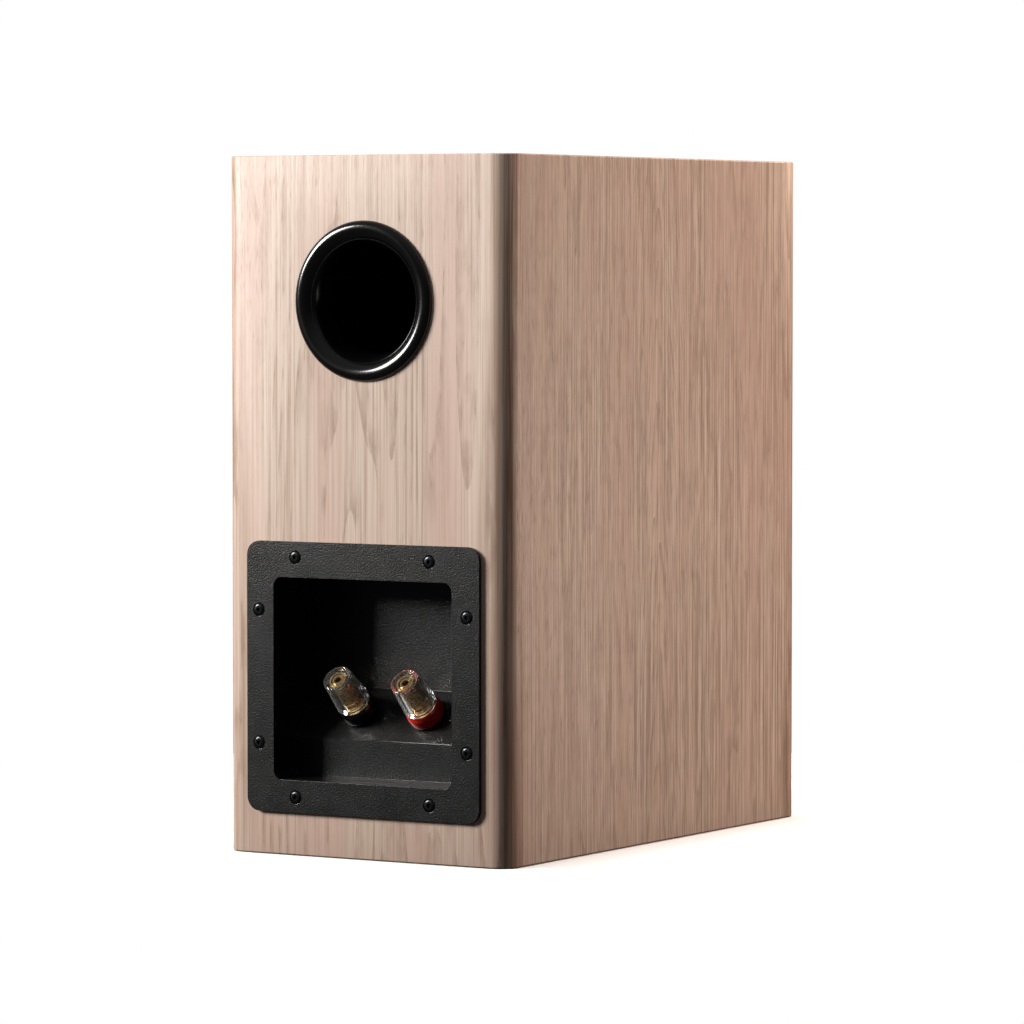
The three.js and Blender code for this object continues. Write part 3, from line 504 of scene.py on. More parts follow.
@dataclass(frozen=True)
class Cloth(Finish):
    """Woven cloth: crossing threads, drawn several times coarser than real ones so that they show."""

    other: str = "202020"
    thread_mm: float = 0.9
    depth_mm: float = 0.12

    def pattern(self, tree: Tree, shader: bpy.types.Node, place: Socket) -> None:
        """Crosses two sets of threads over the face that looks along Y.

        Args:
            tree: The node tree.
            shader: The shader to dress.
            place: Place on the piece, in metres.
        """
        inputs = {"Vector": place, "Scale": WAVE_SCALE / (self.thread_mm * MM), "Distortion": 0.5}
        sets = [
            add_node(tree, WAVE, inputs, wave_type="BANDS", bands_direction=way).outputs["Fac"]
            for way in ("X", "Z")
        ]
        weave = add_node(tree, MATH, sets, operation="MULTIPLY").outputs[0]
        drift = noise_at(tree, place, (7.0, 7.0, 7.0), Detail=3.0)
        self.vary(tree, shader, drift, self.other, 0.05)
        self.relief(tree, shader, weave, self.depth_mm)


@dataclass(frozen=True)
class Plywood(Finish):
    """Birch plywood: pale faces, and veneers of changing tone, drawn coarse, on the cut edge."""

    other: str = "b8946a"
    ply_mm: float = 1.5

    def pattern(self, tree: Tree, shader: bpy.types.Node, place: Socket) -> None:
        """Bands the edge by ply and runs a soft grain over the faces.

        Args:
            tree: The node tree.
            shader: The shader to dress.
            place: Place on the piece, in metres.
        """
        inputs = {"Vector": place, "Scale": WAVE_SCALE / (self.ply_mm * MM), "Distortion": 0.3}
        plies = add_node(tree, WAVE, inputs, wave_type="BANDS", bands_direction="Z").outputs["Fac"]
        grain = noise_at(tree, place, (1.4, 60.0, 40.0), Detail=3.0)
        both = add_node(tree, MATH, [plies, grain], operation="MULTIPLY")
        colour = add_node(tree, RAMP, [both], [(0.05, self.other), (0.45, self.colour)])
        tree.links.new(colour.outputs["Color"], shader.inputs["Base Color"])
        self.relief(tree, shader, grain, 0.05)


@dataclass(frozen=True)
class Clear(Finish):
    """Clear acrylic, polished after moulding: it bends light like glass and has bright edges."""

    transmission: float = 0.97
    sheen: float = 0.7
    sheen_roughness: float = 0.22
    worn_roughness: float = 0.12

    def pattern(self, tree: Tree, shader: bpy.types.Node, place: Socket) -> None:
        """Lets light through and leaves faint handling marks in the gloss.

        Args:
            tree: The node tree.
            shader: The shader to dress.
            place: Place on the piece, in metres.
        """
        shader.inputs["Transmission Weight"].default_value = self.transmission
        shader.inputs["Sheen Weight"].default_value = self.sheen
        shader.inputs["Sheen Roughness"].default_value = self.sheen_roughness
        marks = noise_at(tree, place, (3.0, 3.0, 3.0), Detail=4.0)
        spread = add_node(tree, RANGE, [marks, 0.45, 0.75, self.roughness, self.worn_roughness])
        tree.links.new(spread.outputs["Result"], shader.inputs["Roughness"])


# Each finish is named for its real material and how its surface was made.
# Flat-sliced oak under satin lacquer: pinkish beige, brown lines, a soft broad shine.
OAK_UPRIGHT = OakVeneer("oak veneer satin lacquered upright", "bfa897", 0.48)
OAK_ACROSS = OakVeneer("oak veneer satin lacquered across", "bfa897", 0.48, grain=Grain.ACROSS)
# Pressed fibreboard shows only inside cut-outs: an even, dusty brown.
FIBREBOARD = Moulded("fibreboard routed", "9b7c5c", 0.92, other="86694b", grain_mm=1.2, depth_mm=0.08)
# Sawn birch plywood: pale, dry and banded.
BIRCH_PLY = Plywood("birch plywood sawn", "d8bd92", 0.75)
# Polished ABS: near black with sharp reflections.
GLOSS_ABS = Moulded(
    "abs polished black", "070707", 0.16, ior=1.53, other="0a0a0a", grain_mm=3.0, depth_mm=0.004, swing=0.03
)
# Spark-textured ABS: a soft broad sheen on near black.
GRAINED_ABS = Moulded(
    "abs spark textured black", "070707", 0.33, other="0a0a0a", grain_mm=1.0, depth_mm=0.2, swing=0.02
)
# Handled edges of the same plastic, where the spark texture has worn smooth.
EDGE_ABS = Moulded(
    "abs edge worn smooth black", "0a0a0a", 0.2, other="0d0d0d", grain_mm=1.5, depth_mm=0.01, swing=0.04
)
# Matt-tooled ABS: dark grey, hardly any reflection.
MATT_ABS = Moulded("abs matt black", "151515", 0.62, ior=1.53, other="1b1b1b", grain_mm=0.9)
# Cut foam: dull and open-celled.
NEOPRENE_FOAM = Moulded(
    "neoprene foam die cut", "262626", 0.95, other="303030", grain_mm=0.6, depth_mm=0.15
)
# Black zinc plate keeps a thin grey shine on edges.
BLACK_ZINC = Turned("steel black zinc plated", "303133", 0.24, metallic=0.9, other="3a3b3d", ring_mm=0.4)
# Polycarbonate moulded glossy: deep colour under a clear skin.
RED_PC = Moulded(
    "polycarbonate glossy red", "c8150d", 0.14, ior=1.58, other="ae100a", grain_mm=4.0, depth_mm=0.003, swing=0.03
)
BLACK_PC = Moulded(
    "polycarbonate glossy black", "060606", 0.14, ior=1.58, other="090909", grain_mm=4.0, depth_mm=0.003, swing=0.03
)
# Clear acrylic: colourless, with bright rims.
ACRYLIC = Clear("acrylic clear polished", "fbf8f2", 0.03, ior=1.49)
# Gold over turned brass: warm and bright with fine tool rings.
GOLD_PLATE = Turned(
    "brass turned gold plated", "edd3a4", 0.26, metallic=1.0, other="dcb986", ring_mm=0.35, depth_mm=0.008
)
# Powder coat on cast aluminium: charcoal with an orange-peel skin.
POWDER_COAT = Moulded(
    "aluminium cast powder coated", "1d1e20", 0.55, metallic=0.15, other="26272a", grain_mm=0.9, depth_mm=0.06
)
# Moulded rubber: black with a soft, slightly uneven shine.
NITRILE_RUBBER = Moulded(
    "nitrile rubber moulded", "0e0e0f", 0.55, ior=1.52, other="161617", grain_mm=1.4, depth_mm=0.015
)
# Coated paper pulp: matt with a felted surface.
PULP_CONE = Moulded("paper pulp coated", "1b1c1f", 0.78, other="27282c", grain_mm=1.8, depth_mm=0.12)
# Doped cotton: black, its weave just seen.
CAP_CLOTH = Cloth("cotton cloth doped black", "121214", 0.6, other="1a1a1d", thread_mm=1.0)
# Resin-dipped cotton: amber and stiff.
SPIDER_CLOTH = Cloth(
    "cotton cloth resin dipped", "a8772f", 0.85, other="8f6426", thread_mm=1.2, depth_mm=0.2
)
# Coated silk: black, finer and shinier than the cotton.
DOME_SILK = Cloth("silk coated black", "17171a", 0.5, other="1f1f23", thread_mm=0.6, depth_mm=0.04)
# Enamelled copper: reddish metal under clear varnish.
COPPER_WIRE = Moulded(
    "copper wire enamelled", "b5623a", 0.28, metallic=1.0, other="9a4d29", grain_mm=0.6, depth_mm=0.01
)
# Zinc-plated steel: light grey, turned.
ZINC_STEEL = Turned("steel zinc plated", "a9abad", 0.32, metallic=1.0, other="93969a", ring_mm=0.6)
# Ground ferrite: dull and dark, like slate.
FERRITE = Moulded("ferrite sintered and ground", "2e2e31", 0.7, other="3a3a3e", grain_mm=1.0, depth_mm=0.08)
# Varnished phenolic board: brown with a low shine.
PHENOLIC_BOARD = Moulded(
    "phenolic board varnished", "6b4f2a", 0.4, other="5a4122", grain_mm=1.5, depth_mm=0.02
)
# Wrapped film: yellow and glossy.
YELLOW_FILM = Moulded(
    "polypropylene film wrapped", "c9971d", 0.3, other="b88715", grain_mm=3.0, depth_mm=0.02
)
# Cast cement: off-white and chalky.
CEMENT = Moulded("cement cast white", "dcd7cb", 0.9, other="c9c3b5", grain_mm=0.8, depth_mm=0.12)
# Felted polyester: white, fully matt and fluffy.
POLYESTER_WOOL = Moulded(
    "polyester fibre felted", "e4e1da", 1.0, other="d2cec4", grain_mm=1.6, depth_mm=0.5
)
# Extruded PVC: smooth coloured insulation with a low shine.
RED_PVC = Moulded("pvc extruded red", "b01f18", 0.42, other="98160f", grain_mm=2.0)
BLACK_PVC = Moulded("pvc extruded black", "141414", 0.42, other="1c1c1c", grain_mm=2.0)
# The studio floor isn't part of the object: pale matt paper.
FLOOR_PAPER = Moulded("paper sweep pale", "f1f0ee", 0.9, other="efeeec", grain_mm=30.0, depth_mm=0.0)


# ---------------------------------------------------------------------------------------------
# Mesh helpers
# ---------------------------------------------------------------------------------------------


def arc(
    centre: Point, radius_u: float, radius_v: float, start: float, end: float, steps: int = 10
) -> list[Point]:
    """Gives points on an arc of an ellipse, both ends included; angles in degrees."""
    angles = [math.radians(start + (end - start) * i / steps) for i in range(steps + 1)]
    return [(centre[0] + radius_u * math.cos(a), centre[1] + radius_v * math.sin(a)) for a in angles]


def rounded_rectangle(
    width: float, height: float, radius: float, u: float = 0.0, v: float = 0.0
) -> list[Point]:
    """Gives the outline of a rectangle centred on (u, v) with round corners."""
    half_u, half_v = width / 2 - radius, height / 2 - radius
    corners = [(half_u, half_v, 0), (-half_u, half_v, 90), (-half_u, -half_v, 180), (half_u, -half_v, 270)]
    points: list[Point] = []
    for du, dv, start in corners:
        points += arc((u + du, v + dv), radius, radius, start, start + 90, 8)
    return points


def polygon(corners: int, across: float, turn: float = 0.0) -> list[Point]:
    """Gives a regular polygon by its width across flats."""
    radius = across / 2 / math.cos(math.pi / corners)
    return arc((0, 0), radius, radius, turn, turn + 360, corners)[:-1]


def to_mesh(name: str, work: bmesh.types.BMesh, crease: float = 32.0) -> Mesh:
    """Closes a piece of mesh work: faces outwards, smooth, with sharp edges kept.

    Args:
        name: The mesh's name.
        work: The mesh being worked on, in metres; it is freed.
        crease: Edges that turn by more than this many degrees stay sharp.

    Returns:
        The finished mesh.
    """
    bmesh.ops.recalc_face_normals(work, faces=work.faces)
    for face in work.faces:
        face.smooth = True
    for edge in work.edges:
        edge.smooth = edge.is_manifold and edge.calc_face_angle() < math.radians(crease)
    mesh = bpy.data.meshes.new(name)
    work.to_mesh(mesh)
    work.free()
    return mesh


def turned(name: str, profile: list[Point], segments: int = 96, crease: float = 32.0) -> Mesh:
    """Turns a profile of (radius, distance along Y) in millimetres about the Y axis.

    Args:
        name: The mesh's name.
        profile: The outline; one that starts on the axis ends on it, any other closes on itself.
        segments: Steps round the axis.
        crease: Edges that turn by more than this many degrees stay sharp.

    Returns:
        A closed mesh in metres.
    """
    work = bmesh.new()
    angles = [2 * math.pi * i / segments for i in range(segments)]
    rings = []
    for radius, y in profile:
        turn = angles if radius > 1e-6 else angles[:1]
        rings.append(
            [work.verts.new((radius * MM * math.cos(a), y * MM, radius * MM * math.sin(a))) for a in turn]
        )
    loop = rings if profile[0][0] <= 1e-6 else [*rings, rings[0]]
    for near, far in zip(loop, loop[1:]):
        for i in range(segments):
            j = i + 1
            corners = [near[i % len(near)], near[j % len(near)], far[j % len(far)], far[i % len(far)]]
            unique = list(dict.fromkeys(corners))
            if len(unique) > 2:
                work.faces.new(unique)
    return to_mesh(name, work, crease)


def slab(name: str, outline: list[Point], low: float, high: float, axis: Axis) -> Mesh:
    """Extrudes an outline in millimetres from low to high along an axis."""
    work = bmesh.new()
    ends = []
    for depth in (low, high):
        ring = []
        for u, v in outline:
            place = [0.0, 0.0, 0.0]
            for column, value in zip(axis.value, (u, v, depth)):
                place[column] = value * MM
            ring.append(work.verts.new(place))
        ends.append(ring)
    count = len(outline)
    for i in range(count):
        j = (i + 1) % count
        work.faces.new([ends[0][i], ends[0][j], ends[1][j], ends[1][i]])
    work.faces.new(ends[0])
    work.faces.new(ends[1])
    return to_mesh(name, work)


def combine(mesh: Mesh, others: list[Mesh], operation: str = "DIFFERENCE") -> Mesh:
    """Cuts, joins or intersects a mesh with others by exact booleans.

    Args:
        mesh: The mesh that is worked on.
        others: Closed meshes used one after another.
        operation: DIFFERENCE, UNION or INTERSECT.

    Returns:
        The new mesh; the old ones are removed.
    """
    scene = bpy.context.scene
    body = bpy.data.objects.new("bench_body", mesh)
    scene.collection.objects.link(body)
    tools = []
    for other in others:
        tool = bpy.data.objects.new("bench_tool", other)
        scene.collection.objects.link(tool)
        tools.append(tool)
        step = body.modifiers.new("cut", "BOOLEAN")
        step.solver = "EXACT"
        step.operation = operation
        step.object = tool
    bpy.context.view_layer.update()
    result = bpy.data.meshes.new_from_object(body.evaluated_get(bpy.context.evaluated_depsgraph_get()))
    name = mesh.name
    for spare in [body, *tools]:
        used = spare.data
        bpy.data.objects.remove(spare)
        bpy.data.meshes.remove(used)
    result.name = name
    work = bmesh.new()
    work.from_mesh(result)
    bpy.data.meshes.remove(result)
    bmesh.ops.remove_doubles(work, verts=work.verts, dist=1e-6)
    bmesh.ops.dissolve_limit(work, angle_limit=math.radians(0.15), verts=work.verts, edges=work.edges)
    return to_mesh(name, work)


def moved(mesh: Mesh, place: Matrix) -> Mesh:
    """Moves a mesh's own points and returns it."""
    mesh.transform(place)
    return mesh


def at(x: float, y: float, z: float) -> Matrix:
    """A shift in millimetres."""
    return Matrix.Translation(Vector((x, y, z)) * MM)


def tube(name: str, points: list[Vector], radius: float) -> bpy.types.Object:
    """Makes a round lead as a smooth curve through points in metres; the radius is in millimetres."""
    curve = bpy.data.curves.new(name, "CURVE")
    curve.dimensions = "3D"
    curve.bevel_depth = radius * MM
    curve.bevel_resolution = 4
    curve.use_fill_caps = True
    curve.resolution_u = 10
    spline = curve.splines.new("BEZIER")
    spline.bezier_points.add(len(points) - 1)
    for knot, point in zip(spline.bezier_points, points):
        knot.co = point
        knot.handle_left_type = "AUTO"
        knot.handle_right_type = "AUTO"
    return bpy.data.objects.new(name, curve)


class Bench:
    """Fits finished pieces to the frame's bodies and keeps count of them."""

    def __init__(self, frame: dict) -> None:
        """Keeps the frame's joints and starts with no pieces."""
        self.joints = {joint["name"]: joint for joint in frame["joints"]}
        self.fitted = 0

    def post_line(self, pole: Pole) -> tuple[Vector, Vector]:
        """The foot of a post in millimetres and its direction, from its cap's hinge."""
        hinge = self.joints[f"{pole.value}_cap_turn"]
        return Vector(hinge["pos_m"]) / MM, Vector(hinge["axis"]).normalized()

    def fit(
        self,
        name: str,
        data: Mesh | bpy.types.Object,
        finishes: Finish | list[Finish],
        body: str = "cabinet",
        place: Matrix | None = None,
        replaces: str | None = None,
        slot: str | None = None,
        rounding: float = 0.0,
        edge: Finish | None = None,
    ) -> bpy.types.Object:
        """Puts a piece in the scene, dressed and riding on its body.

        Args:
            name: The piece's name.
            data: Its mesh, or a finished curve object.
            finishes: One finish or one for each material index.
            body: The body that carries it.
            place: Where its own frame stands.
            replaces: The frame node that it stands for.
            slot: The record's material slot, if it isn't the node's own; not used.
            rounding: Radius in millimetres to which sharp edges are eased.
            edge: Finish of the eased edges, if it isn't the piece's own.

        Returns:
            The piece.
        """
        piece = self.prepare(name, data, finishes, place, rounding, edge)
        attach(piece, body)
        self.declare(piece, replaces, slot)
        return piece

    def prepare(
        self,
        name: str,
        data: Mesh | bpy.types.Object,
        finishes: Finish | list[Finish],
        place: Matrix | None = None,
        rounding: float = 0.0,
        edge: Finish | None = None,
    ) -> bpy.types.Object:
        """Makes the object with its materials and eased edges, without a body yet."""
        piece = data if isinstance(data, bpy.types.Object) else bpy.data.objects.new(name, data)
        bpy.context.scene.collection.objects.link(piece)
        coats = finishes if isinstance(finishes, list) else [finishes]
        for finish in [*coats, edge] if edge else coats:
            piece.data.materials.append(finish.material())
        if place is not None:
            piece.matrix_world = place
        if rounding:
            ease = piece.modifiers.new("eased_edges", "BEVEL")
            ease.limit_method = "ANGLE"
            ease.angle_limit = math.radians(38)
            ease.width = rounding * MM
            ease.segments = 3
            ease.material = len(coats) if edge else -1
        bpy.context.view_layer.update()
        return piece

    def declare(self, piece: bpy.types.Object, replaces: str | None, slot: str | None) -> None:
        """Hides the frame node that a piece replaces, counts the piece and logs it."""
        if replaces:
            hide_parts(replaces)
        self.fitted += 1
        LOG.info("fitted %s", piece.name)


def centre_of(node: str) -> Vector:
    """The middle of a frame node's box, in metres."""
    low, high = (Vector(corner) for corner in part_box(node))
    return (low + high) / 2


# ---------------------------------------------------------------------------------------------
# Cabinet
# ---------------------------------------------------------------------------------------------


@dataclass
class Cabinet:
    """The veneered box: two end boards, four shell panels, a window brace and wool lining."""

    bench: Bench
    edge_radius: float = 13.0
    edge_steps: int = 14
    eased: float = 0.8
    port_hole: float = 39.2
    tray_hole: Triple = (139.2, 135.2, 9.6)
    woofer_rebate: Point = (85.3, 5.3)
    woofer_hole: float = 78.0
    tweeter_rebate: Point = (50.3, 4.3)
    tweeter_hole: float = 38.0
    panels: tuple[str, ...] = ("left_side_panel", "right_side_panel", "top_panel", "bottom_panel")
    wool_lumps: float = 3.0

    def __post_init__(self) -> None:
        """Reads the outer box from the end boards."""
        front_low, front_high = (Vector(c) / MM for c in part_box("front_baffle"))
        rear_low, rear_high = (Vector(c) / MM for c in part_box("rear_panel"))
        self.half_width = front_high.x
        self.height = front_high.z
        self.front, self.rear = front_low.y, rear_high.y
        self.inner_front, self.inner_rear = front_high.y, rear_low.y

    def build(self) -> None:
        """Builds every wooden piece and the lining."""
        port, tray = centre_of("port_tube") / MM, centre_of("terminal_gasket") / MM
        woofer, tweeter = centre_of("woofer_basket") / MM, centre_of("tweeter_faceplate") / MM
        outline = rounded_rectangle(*self.tray_hole, tray.x, tray.z)
        depth = (self.inner_rear - 2, self.rear + 2)
        rear_cuts = [
            moved(turned("port_cut", self.drill(self.port_hole, *depth)), at(port.x, 0, port.z)),
            slab("tray_cut", outline, *depth, Axis.Y),
        ]
        self.end_board("rear_panel", self.inner_rear, self.rear, rear_cuts)
        front_cuts = []
        for centre, rebate, hole in (
            (woofer, self.woofer_rebate, self.woofer_hole),
            (tweeter, self.tweeter_rebate, self.tweeter_hole),
        ):
            stepped = [
                (0, self.front - 2),
                (rebate[0], self.front - 2),
                (rebate[0], self.front + rebate[1]),
                (hole, self.front + rebate[1]),
                (hole, self.inner_front + 2),
                (0, self.inner_front + 2),
            ]
            front_cuts.append(moved(turned("driver_cut", stepped), at(centre.x, 0, centre.z)))
        self.end_board("front_baffle", self.front, self.inner_front, front_cuts)
        for name in self.panels:
            self.shell_panel(name)
        brace = bpy.data.objects["window_brace"]
        self.dress(brace, BIRCH_PLY)
        ease = brace.modifiers.new("eased_edges", "BEVEL")
        ease.width = self.eased * MM
        ease.segments = 2
        for name in ("wadding_left", "wadding_right"):
            self.lining(name)

    def drill(self, radius: float, low: float, high: float) -> list[Point]:
        """Profile of a plain round cutter."""
        return [(0, low), (radius, low), (radius, high), (0, high)]

    def dress(self, node: bpy.types.Object, finish: Finish) -> None:
        """Gives a carried-over node its finish in every slot."""
        for place in node.material_slots:
            place.material = finish.material()
        if not node.material_slots:
            node.data.materials.append(finish.material())
        LOG.info("dressed %s", node.name)

    def end_board(self, name: str, low: float, high: float, cuts: list[Mesh]) -> None:
        """Builds a front or rear board whose outer upright edges are rounded."""
        outer = high if high > 0 else low
        inward = -1 if outer > 0 else 1
        radius, half = self.edge_radius, self.half_width
        turn_v = outer + inward * radius
        right = arc((half - radius, turn_v), radius, -inward * radius, 0, 90, self.edge_steps)
        left = [(-u, v) for u, v in reversed(right)]
        inner = outer + inward * (high - low)
        board = slab(name, [(half, inner), *right, *left, (-half, inner)], 0, self.height, Axis.Z)
        self.ease_ends(board)
        self.finish_panel(name, combine(board, cuts))

    def shell_panel(self, name: str) -> None:
        """Builds a side, top or bottom panel that meets its neighbours with no gap."""
        low, high = (Vector(corner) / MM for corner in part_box(name))
        flat = "side" not in name
        x_low = -self.side_face() if flat else low.x
        x_high = self.side_face() if flat else high.x
        outline = [
            (x_low, self.inner_front),
            (x_high, self.inner_front),
            (x_high, self.inner_rear),
            (x_low, self.inner_rear),
        ]
        panel = slab(name, outline, low.z, high.z, Axis.Z)
        if not flat:
            self.ease_ends(panel)
        self.finish_panel(name, panel)

    def side_face(self) -> float:
        """Where the side panels' inner faces stand."""
        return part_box("left_side_panel")[0][0] / MM

    def ease_ends(self, mesh: Mesh) -> None:
        """Rounds the top and bottom outer edges of a panel, and leaves its joints square."""
        work = bmesh.new()
        work.from_mesh(mesh)
        near = 0.05 * MM
        top = self.height * MM
        picked = []
        for edge in work.edges:
            ends = [corner.co for corner in edge.verts]
            level = all(abs(c.z) < near for c in ends) or all(abs(c.z - top) < near for c in ends)
            if level and all(self.is_outer(c) for c in ends) and self.is_outer((ends[0] + ends[1]) / 2):
                picked.append(edge)
        bmesh.ops.bevel(work, geom=picked, offset=self.eased * MM, segments=3, affect="EDGES", profile=0.5)
        for face in work.faces:
            face.smooth = True
        work.to_mesh(mesh)
        work.free()

    def is_outer(self, point: Vector, slack: float = 0.35) -> bool:
        """Tells whether a point lies on the box's outer walls, seen from above."""
        x, y = abs(point.x) / MM, point.y / MM
        edge = self.rear if y > 0 else -self.front
        turn_x, turn_y = self.half_width - self.edge_radius, edge - self.edge_radius
        if x > turn_x and abs(y) > turn_y:
            return math.hypot(x - turn_x, abs(y) - turn_y) > self.edge_radius - slack
        return x > self.half_width - slack or abs(y) > edge - slack

    def finish_panel(self, name: str, mesh: Mesh) -> None:
        """Veneers the outer faces, leaves fibreboard inside, and fits the panel."""
        reach = (self.eased + 0.1) * MM
        for face in mesh.polygons:
            middle, normal = face.center, face.normal
            level = abs(normal.z) > 0.75
            if level and (middle.z < reach or middle.z > self.height * MM - reach):
                face.material_index = 1
            elif not level and self.is_outer(middle, self.eased + 0.4):
                outward = Vector((middle.x, middle.y, 0)).dot(normal) > 0
                face.material_index = 0 if outward else 2
            else:
                face.material_index = 2
        self.bench.fit(name + "_veneered", mesh, [OAK_UPRIGHT, OAK_ACROSS, FIBREBOARD], replaces=name)

    def lining(self, name: str) -> None:
        """Builds a slab of wool with a lumpy face and soft edges."""
        low, high = (Vector(corner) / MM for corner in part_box(name))
        size, middle = high - low, (high + low) / 2
        work = bmesh.new()
        bmesh.ops.create_cube(work, size=1.0)
        bmesh.ops.subdivide_edges(work, edges=work.edges[:], cuts=26, use_grid_fill=True)
        inset = self.wool_lumps
        for corner in work.verts:
            unit = corner.co * 2
            squash = [math.copysign(abs(c) ** 0.9, c) for c in unit]
            edge = max(abs(unit.y), abs(unit.z)) ** 10
            lump = noise.noise(Vector((unit.y * 3.0, unit.z * 4.0, unit.x))) * inset
            half_x = size.x / 2 - inset * (0.5 + 0.8 * edge) + lump * 0.5
            corner.co = Vector(
                (
                    middle.x + squash[0] * half_x,
                    middle.y + squash[1] * (size.y / 2 - inset * (0.4 + 0.4 * abs(unit.x))) + lump * 0.4,
                    middle.z + squash[2] * (size.z / 2 - inset * (0.4 + 0.4 * abs(unit.x))) + lump * 0.4,
                )
            ) * MM
        piece = self.bench.fit(name + "_felt", to_mesh(name, work, 80), POLYESTER_WOOL, replaces=name)


# ---------------------------------------------------------------------------------------------
# Port
# ---------------------------------------------------------------------------------------------


@dataclass
class Port:
    """The flared reflex port: a polished mouth with its tube, and a flared inner end."""

    bench: Bench
    flange_radius: float = 50.2
    crest_radius: float = 45.5
    crest_height: float = 4.0
    bore_radius: float = 33.0
    wall: float = 2.6
    mouth_depth: float = 21.0
    length: float = 150.0
    inner_flare_radius: float = 43.0
    inner_flare_length: float = 22.0
    seat: float = 0.3

    def build(self) -> None:
        """Builds the mouth with its tube, and the inner flare."""
        centre, rear = centre_of("port_tube") / MM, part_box("rear_panel")[1][1] / MM
        place = at(centre.x, rear, centre.z)
        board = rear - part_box("rear_panel")[0][1] / MM
        rise = self.crest_height
        outer = arc(
            (self.crest_radius, self.seat),
            self.flange_radius - self.crest_radius,
            rise - self.seat,
            0,
            90,
            14,
        )
        lip = self.crest_radius - self.bore_radius
        inner = arc((self.crest_radius, -self.mouth_depth), lip, self.mouth_depth + rise, 90, 180, 28)
        end = -(self.length - self.inner_flare_length)
        outside = self.bore_radius + self.wall
        profile = [
            *outer,
            *inner[1:],
            (self.bore_radius, end),
            (outside, end),
            (outside, -board),
            (outside + 3, -board + 3),
            (outside + 3, self.seat),
        ]
        mouth = turned("port_tube", profile, 128)
        self.bench.fit("port_mouth_polished", mouth, GLOSS_ABS, place=place, replaces="port_tube")
        middle = (self.inner_flare_radius, end - self.seat)
        half = self.inner_flare_radius - self.bore_radius
        near = arc(middle, half, self.inner_flare_length, 180, 262, 16)
        far = arc(middle, half - self.wall, self.inner_flare_length - self.wall, 262, 180, 16)
        flare = turned("port_inner_flare", [*near, *far], 96)
        self.bench.fit(
            "port_inner_end", flare, MATT_ABS, place=place, replaces="port_inner_flare", rounding=0.5
        )


# ---------------------------------------------------------------------------------------------
# Terminal tray
# ---------------------------------------------------------------------------------------------


